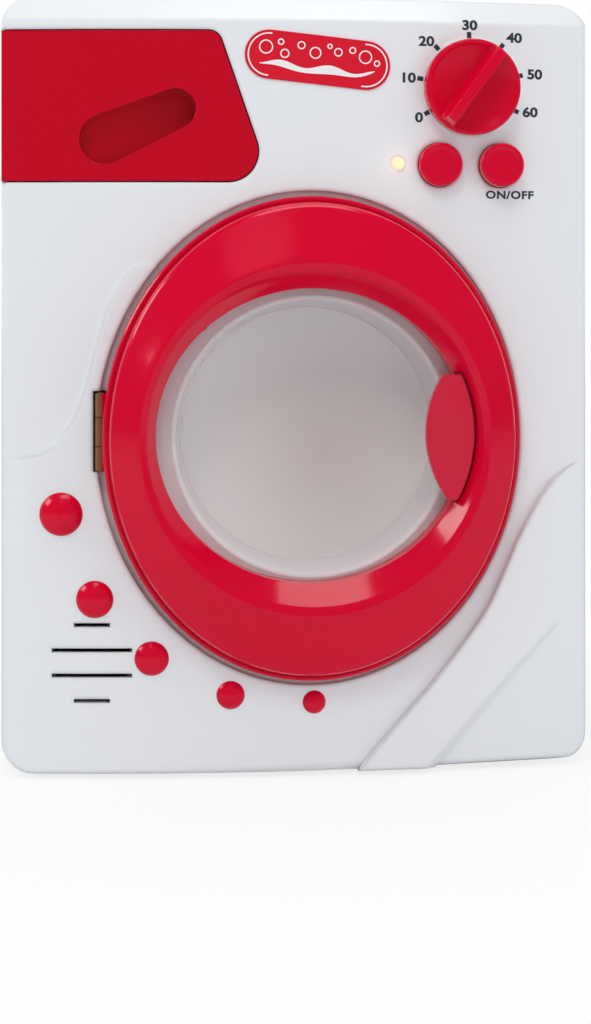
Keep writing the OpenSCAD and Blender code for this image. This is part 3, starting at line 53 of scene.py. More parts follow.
def bulge_at(x):
    """How far the bulged front lies behind its crown at a distance from the middle."""
    return BULGE_R - math.sqrt(BULGE_R**2 - x * x)


def at(x, depth, z):
    """A place in metres from its position, depth and height in millimetres."""
    return Vector((x / 1000, FRONT_Y + depth / 1000, z / 1000))


# Camera
# It stands level, to the left of the machine and above its middle, as the photographer's did,
# so the upright edges stay upright in the picture. A shift of the lens takes in the paper below.
AIM = Vector((0.0068, 0.007, 0.1786))
AZIMUTH = math.radians(-6.41)
DISTANCE = 0.880
LENS_MM = 76.7
SENSOR_MM = 36.0
PICTURE_SHIFT = -0.218


def add_object(name, data):
    """Puts a mesh, a lamp, a camera or letters into the scene as an object."""
    made = bpy.data.objects.new(name, data)
    bpy.context.collection.objects.link(made)
    return made


def stand(made, place, aim):
    """Stands a camera or a lamp at a place, facing another."""
    made.location = place
    made.rotation_mode = "QUATERNION"
    made.rotation_quaternion = (Vector(aim) - Vector(place)).to_track_quat("-Z", "Y")


camera = add_object("camera", bpy.data.cameras.new("camera"))
towards_camera = Vector((math.sin(AZIMUTH), -math.cos(AZIMUTH), 0.0))
stand(camera, AIM + towards_camera * DISTANCE, AIM)
camera.data.lens = LENS_MM
camera.data.sensor_width = SENSOR_MM
camera.data.shift_y = PICTURE_SHIFT
bpy.context.scene.camera = camera
bpy.context.scene.view_settings.view_transform = "Standard"

# Studio
# White paper behind and below, a softbox overhead, a small one at the left, a large one high in
# front and a weak one at the right. Only the first two are mirrored in the gloss, and the room
# towards the camera is dim in it, so the red ring keeps its deep colour.
ROOM_FILL = 0.58
ROOM_MIRRORED = 0.05
PAPER_FROM_Y = 0.1
PAPER_TO_Y = 0.6


def linear(code):
    """A colour in Blender's linear values from its sRGB code."""
    parts = [int(code[i:i + 2], 16) / 255 for i in (1, 3, 5)]
    return (*[c / 12.92 if c <= 0.04045 else ((c + 0.055) / 1.055) ** 2.4 for c in parts], 1.0)


def add_node(tree, kind, inputs=None, **settings):
    """Adds a node with its settings, and sets or links each of its inputs."""
    made = tree.nodes.new(kind)
    for name, value in settings.items():
        setattr(made, name, value)
    for name, value in (inputs or {}).items():
        if isinstance(value, bpy.types.NodeSocket):
            tree.links.new(value, made.inputs[name])
        else:
            made.inputs[name].default_value = value
    return made


world = bpy.data.worlds.new("studio")
bpy.context.scene.world = world
world.use_nodes = True
tree = world.node_tree
tree.nodes.clear()
path = add_node(tree, "ShaderNodeLightPath")
bearing = add_node(tree, "ShaderNodeTexCoord")
bearing_parts = add_node(tree, "ShaderNodeSeparateXYZ", {"Vector": bearing.outputs["Generated"]})
behind = add_node(tree, "ShaderNodeMapRange", {
    "Value": bearing_parts.outputs["Y"], "From Min": PAPER_FROM_Y, "From Max": PAPER_TO_Y,
})
mirrored = add_node(tree, "ShaderNodeMath", {
    0: path.outputs["Is Glossy Ray"], 1: path.outputs["Is Transmission Ray"],
}, operation="MAXIMUM")
paper_share = add_node(tree, "ShaderNodeMath", {
    0: mirrored.outputs["Value"], 1: behind.outputs["Result"],
}, operation="MULTIPLY")
shows_paper = add_node(tree, "ShaderNodeMath", {
    0: path.outputs["Is Camera Ray"], 1: paper_share.outputs["Value"],
}, operation="MAXIMUM")
paper = add_node(tree, "ShaderNodeBackground", {"Color": linear("#ffffff"), "Strength": 1.0})
room = add_node(tree, "ShaderNodeMapRange", {
    "Value": mirrored.outputs["Value"], "To Min": ROOM_FILL, "To Max": ROOM_MIRRORED,
})
fill = add_node(tree, "ShaderNodeBackground", {
    "Color": linear("#fcfdff"), "Strength": room.outputs["Result"],
})
seen = add_node(tree, "ShaderNodeMixShader", {
    0: shows_paper.outputs["Value"],
    1: fill.outputs["Background"],
    2: paper.outputs["Background"],
})
add_node(tree, "ShaderNodeOutputWorld", {"Surface": seen.outputs["Shader"]})

for name, place, aim, size, watts, in_gloss in (
    ("overhead", (0.05, -0.31, 1.10), (0.0, -0.10, 0.12), (0.58, 0.34), 1.55, True),
    ("left", (-0.95, -0.15, 0.72), (0.03, -0.09, 0.10), (0.34, 0.34), 1.9, True),
    ("front", (-0.30, -1.20, 1.60), (0.0, 0.0, 0.12), (0.6, 0.5), 7.0, False),
    ("right", (1.10, -0.75, 0.40), (0.0, 0.0, 0.14), (0.5, 0.8), 1.8, False),
):
    lamp = bpy.data.lights.new(name, "AREA")
    lamp.shape = "RECTANGLE"
    lamp.size, lamp.size_y = size
    lamp.energy = watts
    lamp.color = linear("#fffdfb")[:3]
    lamp_object = add_object(name, lamp)
    lamp_object.visible_glossy = in_gloss
    stand(lamp_object, place, aim)

# Floor
# White paper, which is no part of the toy. To the eye it glows as white as the rest of the sweep,
# but near the machine the glow is lowered, a painted shade, so that the lit paper and its real
# soft shadow show there; in the gloss it is painted greyer, a painted shade. Its fibres are drawn
# coarser than real ones.
FLOOR_HALF_M = 4.0
FIBRE_MM = 8.9
SHADOW_FROM_M = 0.12
SHADOW_TO_M = 0.4
SHADOW_GLOW = 0.8


def blank_material(name):
    """Makes a material without nodes, and gives it with its node tree."""
    made = bpy.data.materials.new(name)
    made.use_nodes = True
    made.node_tree.nodes.clear()
    return made, made.node_tree


def mesh_of(name, shape):
    """Makes a mesh of a shape, and frees the shape."""
    mesh = bpy.data.meshes.new(name)
    shape.to_mesh(mesh)
    shape.free()
    return mesh


white_paper, tree = blank_material("white_paper")
path = add_node(tree, "ShaderNodeLightPath")
where = add_node(tree, "ShaderNodeTexCoord")
fibres = add_node(tree, "ShaderNodeTexNoise", {
    "Vector": where.outputs["Object"], "Scale": 1000 / FIBRE_MM, "Detail": 2.0,
})
nap = add_node(tree, "ShaderNodeBump", {
    "Strength": 0.05, "Distance": 0.0002, "Height": fibres.outputs["Fac"],
})
# Painted shade: in reflections the paper is greyer, standing for paper further from the lamps
gloss_shade_tone = add_node(tree, "ShaderNodeMix", {
    0: path.outputs["Is Glossy Ray"], 6: linear("#f4f6f8"), 7: linear("#8f9194"),
}, data_type="RGBA")
paper_face = add_node(tree, "ShaderNodeBsdfDiffuse", {
    "Color": gloss_shade_tone.outputs[2], "Normal": nap.outputs["Normal"],
})
glow = add_node(tree, "ShaderNodeEmission", {"Color": linear("#ffffff"), "Strength": 1.0})
away = add_node(tree, "ShaderNodeVectorMath", {0: where.outputs["Object"]}, operation="LENGTH")
# Painted shade: the glow is lowered near the machine, where the lit paper and its real shadow show
whiteness = add_node(tree, "ShaderNodeMapRange", {
    "Value": away.outputs["Value"],
    "From Min": SHADOW_FROM_M,
    "From Max": SHADOW_TO_M,
    "To Min": SHADOW_GLOW,
    "To Max": 1.0,
})
to_the_eye = add_node(tree, "ShaderNodeMath", {
    0: whiteness.outputs["Result"], 1: path.outputs["Is Camera Ray"],
}, operation="MULTIPLY")
paper_glow = add_node(tree, "ShaderNodeMixShader", {
    0: to_the_eye.outputs["Value"], 1: paper_face.outputs["BSDF"], 2: glow.outputs["Emission"],
})
add_node(tree, "ShaderNodeOutputMaterial", {"Surface": paper_glow.outputs["Shader"]})
floor_shape = bmesh.new()
bmesh.ops.create_grid(floor_shape, x_segments=1, y_segments=1, size=FLOOR_HALF_M)
floor = add_object("floor", mesh_of("floor", floor_shape))
floor.data.materials.append(white_paper)

# White body
# Two shells of injection-moulded ABS, screwed together from the back, the front one polished
# and the rear one plainer. The guard round the drum, the gearbox plate and the drawer's guide
# are moulded in the same plastic and screwed inside.
CLOUD_MM = 71.4
CLOUD_SHADE = 0.985
RIPPLE_HEIGHT = 0.0004


def finish(name, code, roughness, ripple_mm=1.1, bump=0.02, edge_mm=0.0, coat=0.0, metal=0.0):
    """A finish that clouds a little in colour and gloss, with a fine ripple and soft edges."""
    made, tree = blank_material(name)
    where = add_node(tree, "ShaderNodeTexCoord")
    cloud = add_node(tree, "ShaderNodeTexNoise", {
        "Vector": where.outputs["Object"], "Scale": 1000 / CLOUD_MM, "Detail": 3.0,
    })
    ripple = add_node(tree, "ShaderNodeTexNoise", {
        "Vector": where.outputs["Object"], "Scale": 1000 / ripple_mm, "Detail": 2.0,
    })
    pale = linear(code)
    shade = (*[c * CLOUD_SHADE for c in pale[:3]], 1.0)
    tint = add_node(tree, "ShaderNodeMix", {
        0: cloud.outputs["Fac"], 6: shade, 7: pale,
    }, data_type="RGBA")
    gloss = add_node(tree, "ShaderNodeMapRange", {
        "Value": cloud.outputs["Fac"], "To Min": roughness * 0.93, "To Max": roughness * 1.08,
    })
    relief = add_node(tree, "ShaderNodeBump", {
        "Strength": bump, "Distance": RIPPLE_HEIGHT, "Height": ripple.outputs["Fac"],
    })
    if edge_mm:
        soft_edge = add_node(tree, "ShaderNodeBevel", {"Radius": edge_mm / 1000}, samples=6)
        tree.links.new(soft_edge.outputs["Normal"], relief.inputs["Normal"])
    shader = add_node(tree, "ShaderNodeBsdfPrincipled", {
        "Base Color": tint.outputs[2],
        "Roughness": gloss.outputs["Result"],
        "Normal": relief.outputs["Normal"],
        "Coat Weight": coat,
        "Metallic": metal,
    })
    add_node(tree, "ShaderNodeOutputMaterial", {"Surface": shader.outputs["BSDF"]})
    return made


def dress(material, *nodes):
    """Gives CAD nodes one material."""
    for name in nodes:
        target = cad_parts[name]
        target.data.materials.clear()
        target.data.materials.append(material)


# Cool white with a clear gloss, whose corners catch a soft line of light
white_abs = finish("moulded_white_abs", "#eef1f4", 0.2, edge_mm=2.5, coat=0.1)
dress(white_abs, "front_panel")
# The same white with a duller gloss and crisper edges, as on a side that stands to the wall
white_back_abs = finish("moulded_white_abs_back", "#eef1f4", 0.26, edge_mm=0.5)
dress(white_back_abs, "rear_housing", "battery_cover", "battery_box")
# A greyer white without shine, from an unpolished mould
white_inside_abs = finish("white_abs_inside", "#e6e8ea", 0.38)
dress(white_inside_abs, "tub", "gearbox_plate", "drawer_guide")

# Door ring
# One glossy red ABS moulding, hollow behind: a narrow lip with a fine groove inside it, a band
# that rises to the ridge, then a slope down to the opening for the window. It hangs on two
# knuckles, and is notched for the handle. Where the knuckles stand out past the lip they take the
# hinge's dark brown brass, a painted shade of the gap beside the ring.
DOOR_X = 3.8
DOOR_Z = 124.6
BACK_SINK = 2.0
# Ovals from the lip's outer edge over the ridge to the opening and back behind: the half width,
# half height, shift, rise and depth of each
ring_rows = (
    (76.6, 88.4, 0, -0.6, 12), (76.6, 88.4, 0, -0.6, -4), (76.45, 88.25, 0, -0.6, -4.55),
    (76.05, 87.85, 0, -0.6, -4.95), (75.5, 87.3, 0, -0.6, -5.1), (74.95, 86.75, 0, -0.6, -4.95),
    (74.75, 86.55, 0, -0.6, -4.7), (74.5, 86.3, 0, -0.6, -4.75), (74.4, 86.15, 0, -0.6, -5.5),
    (74.3, 86, 0, -0.6, -7.4), (74.1, 85.6, 0, -0.6, -8.5), (73.7, 84.9, 0, -0.6, -9.3),
    (73.1, 83.7, 0, -0.6, -9.95), (72.3, 82, 0, -0.6, -10.6), (70, 77.2, 0, -0.6, -12.6),
    (67.8, 72.4, -0.13, -0.4, -14.6), (65.9, 68.4, -0.26, -0.2, -16.3),
    (64.5, 65.4, -0.38, 0, -17.6), (63.8, 64.1, -0.38, 0, -18.15), (63.5, 63.6, -0.38, 0, -18.3),
    (63.2, 63.2, -0.38, 0, -18.25), (61.4, 60.9, -0.45, 0.1, -17.5),
    (61.1, 60.5, -0.45, 0.1, -17.35), (60.9, 60.2, -0.45, 0.1, -17.1),
    (59.5, 58, -0.58, 0.3, -15.1), (57.2, 54.3, -0.9, 0.8, -11.6), (56.9, 53.7, -0.9, 0.8, -11.1),
    (56.75, 53.4, -0.9, 0.8, -10.8), (56.7, 53.3, -0.9, 0.8, -10.3), (56.7, 53.3, -0.9, 0.8, -2.3),
    (59.1, 55.7, -0.9, 0.8, -2.3), (59.2, 55.8, -0.9, 0.8, -10.2), (62.4, 61, -0.45, 0.1, -15.2),
    (64.6, 64.6, -0.38, 0, -15.4), (71, 78.5, -0.06, -0.5, -8.8), (72.6, 83, 0, -0.6, -7),
    (73, 84, 0, -0.6, -2), (74.2, 86, 0, -0.6, 0), (74.2, 86, 0, -0.6, 12),
)
HANDLE_X = 53.5
HANDLE_Z = 126.2
LENS_LOW_Z = 102.2
LENS_HIGH_Z = 147.5
LENS_LEFT_R = 40.5
LENS_RIGHT_R = 49.0
LENS_LEFT_HALF = 9.74
LENS_RIGHT_HALF = 7.66
NOTCH_ROOM = 1.2
NOTCH_FLOOR = -10.9
NOTCH_REACH = 30.0
HINGE_X = DOOR_X - 77.0
HINGE_DEPTH = bulge_at(HINGE_X / 1000) * 1000 - 2.6
KNUCKLE_R = 2.0
KNUCKLE_SPANS = ((112.6, 121.17), (132.03, 140.6))
WEB_REACH = 3.0
WEB_HALF = 1.4
# Past this the knuckles take the dark brown brass, a painted shade of the gap beside the ring
BRASS_AND_SHADE_OUT_X = DOOR_X - 76.7
RING_FLOOR = -2.3
BOSS_R = 3.2
BOSS_OUT = 59.0
BOSS_TOP = -9.0
LUG_LOWS = (110.2, 136.6)
LUG_HEIGHT = 5.6
LUG_TOP = -10.6
LUG_LEFT_X = 56.3
LUG_RIGHT_X = 62.0


def bridge_rows(shape, rows, x, z, segments=160):
    """Skins a closed row of ovals: half width, half height, shift, rise and depth in mm."""
    loops = []
    for half_w, half_h, shift, rise, depth in rows:
        middle = Matrix.Translation(at(x + shift, depth, z + rise))
        place = middle @ Matrix.Rotation(math.pi / 2, 4, "X")
        stretch = Matrix.Diagonal((half_w / 1000, half_h / 1000, 1.0, 1.0))
        loop = bmesh.ops.create_circle(shape, segments=segments, radius=1.0, matrix=place @ stretch)
        loops.append({edge for vert in loop["verts"] for edge in vert.link_edges})
    for one, other in zip(loops, loops[1:] + loops[:1]):
        bmesh.ops.bridge_loops(shape, edges=list(one | other))
    bmesh.ops.recalc_face_normals(shape, faces=shape.faces)


def add_bar(shape, start, end, radius):
    """Adds a capped round bar between two places, its radius in mm."""
    along = end - start
    turn = along.to_track_quat("Z", "Y").to_matrix().to_4x4()
    bmesh.ops.create_cone(
        shape, cap_ends=True, segments=32, radius1=radius / 1000, radius2=radius / 1000,
        depth=along.length, matrix=Matrix.Translation((start + end) / 2) @ turn,
    )


def add_block(shape, low, high):
    """Adds a block between two corners."""
    size = Matrix.Diagonal((*(high - low), 1.0))
    bmesh.ops.create_cube(shape, size=1.0, matrix=Matrix.Translation((low + high) / 2) @ size)


def piece(name, shape, body, slot, *materials, crease=32):
    """Makes an object of a shape, smooth but for its creases, which rides on a body."""
    mesh = mesh_of(name, shape)
    for face in mesh.polygons:
        face.use_smooth = True
    mesh.set_sharp_from_angle(angle=math.radians(crease))
    for material in materials:
        mesh.materials.append(material)
    made = add_object(name, mesh)
    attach(made, body)
    return made


ring_shape = bmesh.new()
bridge_rows(ring_shape, ring_rows, DOOR_X, DOOR_Z)
# Its back edge follows the bulge of the front, and lies down in the recess there
for vert in ring_shape.verts:
    vert.co.y = min(vert.co.y, FRONT_Y + bulge_at(vert.co.x) + BACK_SINK / 1000)

# The notch has the handle's outline with room round it: two shallow arcs, cut flat above and below
notch_shape = bmesh.new()
notch_low = LENS_LOW_Z - NOTCH_ROOM
notch_high = LENS_HIGH_Z + NOTCH_ROOM
bmesh.ops.create_grid(notch_shape, x_segments=10, y_segments=24, size=1.0)
for vert in notch_shape.verts:
    across = (vert.co.x + 1) / 2
    z = notch_low + (notch_high - notch_low) * (vert.co.y + 1) / 2
    left_bow = math.sqrt((LENS_LEFT_R + NOTCH_ROOM) ** 2 - (z - HANDLE_Z) ** 2)
    right_bow = math.sqrt((LENS_RIGHT_R + NOTCH_ROOM) ** 2 - (z - HANDLE_Z) ** 2)
    left = LENS_LEFT_HALF - LENS_LEFT_R + left_bow
    right = LENS_RIGHT_HALF - LENS_RIGHT_R + right_bow
    vert.co = at(HANDLE_X - left + (left + right) * across, NOTCH_FLOOR, z)
drawn = bmesh.ops.extrude_face_region(notch_shape, geom=notch_shape.faces[:])
front_verts = [part for part in drawn["geom"] if isinstance(part, bmesh.types.BMVert)]
bmesh.ops.translate(notch_shape, verts=front_verts, vec=(0.0, -NOTCH_REACH / 1000, 0.0))
bmesh.ops.recalc_face_normals(notch_shape, faces=notch_shape.faces)
notch = add_object("handle_notch", mesh_of("handle_notch", notch_shape))
blank = add_object("ring_blank", mesh_of("ring_blank", ring_shape))
cut = blank.modifiers.new("notch", "BOOLEAN")
cut.operation = "DIFFERENCE"
cut.object = notch
cut.solver = "EXACT"
bpy.context.view_layer.update()
cut_mesh = blank.evaluated_get(bpy.context.evaluated_depsgraph_get()).to_mesh()
ring_shape = bmesh.new()
ring_shape.from_mesh(cut_mesh)
for spare in (blank, notch):
    bpy.data.objects.remove(spare)

# The two knuckles with their webs. What stands out past the lip takes the dark brown brass, a painted
# shade of the gap beside the ring.
for low_z, high_z in KNUCKLE_SPANS:
    add_bar(
        ring_shape, at(HINGE_X, HINGE_DEPTH, low_z), at(HINGE_X, HINGE_DEPTH, high_z), KNUCKLE_R,
    )
    add_block(
        ring_shape,
        at(HINGE_X, HINGE_DEPTH - WEB_HALF, low_z),
        at(HINGE_X + WEB_REACH, HINGE_DEPTH + WEB_HALF, high_z),
    )
# Painted shade: faces out past the lip take the second, brown material, for the shaded gap
for face in ring_shape.faces:
    face.material_index = int(face.calc_center_median().x < BRASS_AND_SHADE_OUT_X / 1000)

# Four screw bosses for the window and two lugs for the handle's pin
for quarter in range(4):
    angle = math.radians(45 + 90 * quarter)
    x = DOOR_X + BOSS_OUT * math.cos(angle)
    z = DOOR_Z + BOSS_OUT * math.sin(angle)
    add_bar(ring_shape, at(x, BOSS_TOP, z), at(x, RING_FLOOR, z), BOSS_R)
for low_z in LUG_LOWS:
    add_block(
        ring_shape, at(LUG_LEFT_X, LUG_TOP, low_z), at(LUG_RIGHT_X, RING_FLOOR, low_z + LUG_HEIGHT),
    )
# Deep red with a wet gloss, which mirrors the lamps as clear patches
red_abs = finish("moulded_red_abs", "#d90030", 0.13, bump=0.008, coat=0.15)
# A dull brown brass with a little metal shine left, its darkness partly a painted shade of the gap
# under the ring
brass_and_gap_shade = finish("brass_with_gap_shade", "#b07c58", 0.5, ripple_mm=0.5, bump=0.08, metal=0.7)
ring = piece("door_ring_moulding", ring_shape, "door", "red_abs", red_abs, brass_and_gap_shade, crease=28)
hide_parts("door_ring")

# Door window
# One clear polystyrene bowl, moulded with a flange that is screwed to the back of the ring. Its
# wall and flange are polished, with a bead at the fold. Its pane is hazed and hides the drum, and
# is painted greyer and rosier towards a point below and right of its middle, a painted shade of
# the drum's hollow behind it.
# Where the painted shade of the drum's hollow is deepest on the pane, and how far it reaches
PANE_SHADE_MIDDLE = at(DOOR_X + 6, 22, DOOR_Z - 8)
PANE_SHADE_REACH = 60.0
FLOW_MM = 16.7
PANE_R = 46.8
PANE_DEPTH = 18.0
window_rows = (
    (62.2, -2.2), (52.4, -2.2), (51.9, -2.6), (51.3, -2.75), (50.7, -2.6), (50.3, -2.2),
    (50.0, -1.2), (49.6, 1.5), (48.6, 8.0), (47.4, 16.0), (47.0, 18.0), (46.4, 19.3), (45.4, 19.9),
    (40.0, 20.9), (30.0, 21.9), (18.0, 22.6), (6.0, 22.9), (0.02, 22.95), (0.02, 24.4), (18.0, 24.1),
    (30.0, 23.4), (40.0, 22.5), (46.0, 21.5), (48.0, 20.6), (48.8, 18.6), (50.2, 8.0), (51.4, 0.4),
    (51.8, -0.5), (62.2, -0.6),
)


def styrene(name, edge_code, shaded_middle_code, roughness, clarity, waviness):
    """Clear plastic, painted darker towards a point as a painted shade, which lets light through as
    shadow.
    """
    made, tree = blank_material(name)
    where = add_node(tree, "ShaderNodeTexCoord")
    flow = add_node(tree, "ShaderNodeTexNoise", {
        "Vector": where.outputs["Object"], "Scale": 1000 / FLOW_MM, "Detail": 2.0,
    })
    waves = add_node(tree, "ShaderNodeBump", {
        "Strength": waviness, "Distance": 0.0006, "Height": flow.outputs["Fac"],
    })
    gloss = add_node(tree, "ShaderNodeMapRange", {
        "Value": flow.outputs["Fac"], "To Min": roughness * 0.8, "To Max": roughness * 1.2,
    })
    from_middle = add_node(tree, "ShaderNodeVectorMath", {
        0: where.outputs["Object"], 1: PANE_SHADE_MIDDLE,
    }, operation="DISTANCE")
    # Painted shade: the colour turns to the middle code near a point behind the pane
    pane_shade = add_node(tree, "ShaderNodeMapRange", {
        "Value": from_middle.outputs["Value"], "From Max": PANE_SHADE_REACH / 1000,
    })
    tint = add_node(tree, "ShaderNodeMix", {
        0: pane_shade.outputs["Result"], 6: linear(shaded_middle_code), 7: linear(edge_code),
    }, data_type="RGBA")
    # The IOR is below polystyrene's 1.59, so that the thin wall bends the drum behind it less
    shader = add_node(tree, "ShaderNodeBsdfPrincipled", {
        "Base Color": tint.outputs[2], "Roughness": gloss.outputs["Result"], "IOR": 1.3,
        "Transmission Weight": clarity, "Normal": waves.outputs["Normal"],
    })
    path = add_node(tree, "ShaderNodeLightPath")
    let_through = add_node(tree, "ShaderNodeBsdfTransparent", {"Color": linear("#f8f7f8")})
    lit = add_node(tree, "ShaderNodeMixShader", {
        0: path.outputs["Is Shadow Ray"], 1: shader.outputs["BSDF"], 2: let_through.outputs["BSDF"],
    })
    add_node(tree, "ShaderNodeOutputMaterial", {"Surface": lit.outputs["Shader"]})
    return made


# The polished wall is glassy and nearly colourless
clear = styrene("clear_polystyrene", "#f8f6f8", "#f8f6f8", 0.05, 0.36, 0.009)
# The hazed pane is milky; its greyer, rosier middle is a painted shade of the drum's hollow
hazed = styrene("hazed_polystyrene", "#fdfbfa", "#e6dedd", 0.34, 0.24, 0.06)
window_shape = bmesh.new()
bridge_rows(
    window_shape, [(r, r, 0.0, 0.0, depth) for r, depth in window_rows], DOOR_X, DOOR_Z, segments=128,
)
hub = at(DOOR_X, 0.0, DOOR_Z)
for face in window_shape.faces:
    middle = face.calc_center_median() - hub
    on_pane = math.hypot(middle.x, middle.z) < PANE_R / 1000 and middle.y > PANE_DEPTH / 1000
    face.material_index = int(on_pane)
window = piece("window_bowl", window_shape, "door", "clear_styrene", clear, hazed, crease=50)
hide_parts("door_window")

# Handle and hinge
# The handle is a plain lens moulded in red ABS, which tips on a steel pin in the ring's notch.
# Its red is satin and mirrors nothing sharply. The hinge is a folded brass leaf, screwed to the
# front deep under the ring, with a brass pin; their dark brown is partly a painted shade of the gap.
handle_red = finish("satin_red_abs", "#d31238", 0.3, edge_mm=0.45)
dress(handle_red, "door_handle")
dress(brass_and_gap_shade, "hinge_bracket", "hinge_pin", "hinge_screws")

# Drum
# A pale cup with three lifters, moulded in polypropylene and fixed to the end of its shaft. The
# plastic has a waxy look, and shows as a warm grey through the hazed window.
drum_plastic = finish("drum_polypropylene", "#ece6e5", 0.5, edge_mm=0.8)
dress(drum_plastic, "drum")

# Studs
# Five red ABS studs pressed into holes in the front. They come straight from polished moulds,
# bright and glossy, with only the edges broken by a small radius.
small_red = finish("small_red_mouldings", "#dc0030", 0.15, bump=0.01, edge_mm=0.5)
dress(small_red, *[f"accent_stud_{i}" for i in range(1, 6)])

# Push buttons
# Two caps in the same red ABS, each moulded with the plunger that works the switch behind it.
# A cap has a rounded shoulder and a shallow dish. Its stop flange inside isn't drawn here.
BUTTON_Z = 224.4
PLUNGER_R = 2.5
for name, x, proud in (("start", 51.6, 2.0), ("power", 74.7, 1.8)):
    button_rows = (
        (8.05, 7.0), (8.05, 0.9 - proud), (7.95, 0.4 - proud), (7.6, 0.05 - proud),
        (7.1, -proud - 0.1), (6.5, -proud - 0.05), (6.0, 0.15 - proud), (5.5, 0.2 - proud),
        (3.5, 0.05 - proud), (0.02, -proud), (0.02, 7.0),
    )
    button_shape = bmesh.new()
    bridge_rows(
        button_shape, [(r, r, 0.0, 0.0, depth) for r, depth in button_rows], x, BUTTON_Z, segments=64,
    )
    plunger_end = Vector((x / 1000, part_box(f"{name}_button")[1][1], BUTTON_Z / 1000))
    add_bar(button_shape, at(x, 1.5, BUTTON_Z), plunger_end, PLUNGER_R)
    cap = piece(f"{name}_button_cap", button_shape, name, "red_abs", small_red, crease=35)
    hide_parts(f"{name}_button")

# Drawer
# The front and the tray are one ABS moulding, which slides in a guide. Its red is glossy, and a
# little deeper than that of the small pieces.
drawer_red = finish("drawer_red_abs", "#c90022", 0.16, bump=0.008, edge_mm=0.3)
dress(drawer_red, "detergent_drawer")

# Dial
# One red ABS moulding: a rolled rim round a shallow dish, a grip with flared sides across it,
# and a stem behind that turns in the panel and is held there by a washer and a screw.
DIAL_X = 63.3
DIAL_Z = 253.0
STEM_R = 4.0
GRIP_ANGLE = math.radians(54)
GRIP_FOOT = 0.4
GRIP_PROUD = 12.0
GRIP_LENGTH = 34.4
GRIP_TAPER = 3.2
GRIP_WIDTH = 4.0
GRIP_FLARE = 3.6
GRIP_EDGE = 0.5
dial_rows = (
    (17.8, 1.3), (17.8, -2.6), (17.72, -3.1), (17.45, -3.5), (17.0, -3.75), (16.5, -3.7),
    (16.1, -3.4), (15.0, -2.8), (12.5, -1.9), (9.0, -1.2), (5.0, -0.8), (0.02, -0.7), (0.02, 1.3),
)
dial_shape = bmesh.new()
bridge_rows(
    dial_shape, [(r, r, 0.0, 0.0, depth) for r, depth in dial_rows], DIAL_X, DIAL_Z, segments=96,
)
stem_end = Vector((DIAL_X / 1000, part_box("program_knob")[1][1], DIAL_Z / 1000))
add_bar(dial_shape, at(DIAL_X, 1.0, DIAL_Z), stem_end, STEM_R)
# The grip is a cube cut into storeys, each narrower and shorter than the one below it
grip_shape = bmesh.new()
bmesh.ops.create_cube(grip_shape, size=1.0)
risers = [edge for edge in grip_shape.edges if abs(edge.verts[0].co.y - edge.verts[1].co.y) > 0.5]
bmesh.ops.subdivide_edges(grip_shape, edges=risers, cuts=7, use_grid_fill=True)
for vert in grip_shape.verts:
    rise = 0.5 - vert.co.y
    width = GRIP_WIDTH + GRIP_FLARE * (1 - rise) ** 3
    length = GRIP_LENGTH - GRIP_TAPER * rise
    depth = -GRIP_FOOT - (GRIP_PROUD - GRIP_FOOT) * rise
    vert.co = Vector((vert.co.x * length, depth, vert.co.z * width)) / 1000
top_edges = [
    edge for edge in grip_shape.edges
    if max(vert.co.y for vert in edge.verts) < 0.0002 - GRIP_PROUD / 1000
]
bmesh.ops.bevel(
    grip_shape, geom=top_edges, offset=GRIP_EDGE / 1000, segments=3, profile=0.5, affect="EDGES",
    material=-1,
)
turn = Matrix.Translation(at(DIAL_X, 0.0, DIAL_Z)) @ Matrix.Rotation(-GRIP_ANGLE, 4, "Y")
bmesh.ops.transform(grip_shape, matrix=turn, verts=grip_shape.verts)
bmesh.ops.recalc_face_normals(grip_shape, faces=grip_shape.faces)
dial_shape.from_mesh(mesh_of("grip_blank", grip_shape))
dial = piece("dial_moulding", dial_shape, "knob", "red_abs", small_red, crease=35)
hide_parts("program_knob")

# Dial marks and words
# A short mark and a number for each ten round the dial, and ON/OFF under the power button. They
# are pad-printed on the finished front, in a thin film of slate grey ink.
PRINT_LIFT = 0.04
FIGURE_HEIGHT = 3.4
WORD_HEIGHT = 2.75
LETTER_WEIGHT = 0.036
LETTER_WIDEN = 1.2
CAPITAL_SHARE = 0.69
MARK_LENGTH = 2.3
MARK_WIDTH = 1.7
# Where each mark and its number stand, as position and height
dial_marks = {
    0: ((46.9, 243.6), (43.8, 241.7)), 10: ((44.3, 256.2), (39.6, 256.3)),
    20: ((50.6, 267.8), (46.6, 269.9)), 30: ((62.9, 272.7), (63.1, 276.2)),
    40: ((75.5, 268.8), (80.4, 271.9)), 50: ((82.6, 258.0), (88.4, 258.5)),
    60: ((81.0, 244.8), (86.6, 244.3)),
}


def bend_onto_front(verts, lift):
    """Moves flat print onto the bulged front, that many mm proud of it."""
    for vert in verts:
        vert.co.y = FRONT_Y + bulge_at(vert.co.x) - lift / 1000


def add_words(shape, words, x, z, height, spacing=1.0):
    """Adds a word as flat faces, centred on a place, its capitals that many mm high."""
    letters = bpy.data.curves.new(words, "FONT")
    letters.body = words
    letters.align_x = "CENTER"
    letters.align_y = "CENTER"
    letters.offset = LETTER_WEIGHT
    letters.space_character = spacing
    letters.resolution_u = 6
    flat = add_object(words, letters)
    bpy.context.view_layer.update()
    mesh = bpy.data.meshes.new_from_object(flat.evaluated_get(bpy.context.evaluated_depsgraph_get()))
    scale = height / 1000 / CAPITAL_SHARE
    place = Matrix.Translation(at(x, 0.0, z)) @ Matrix.Rotation(math.pi / 2, 4, "X")
    mesh.transform(place @ Matrix.Diagonal((scale * LETTER_WIDEN, scale, scale, 1.0)))
    shape.from_mesh(mesh)
    bpy.data.objects.remove(flat)


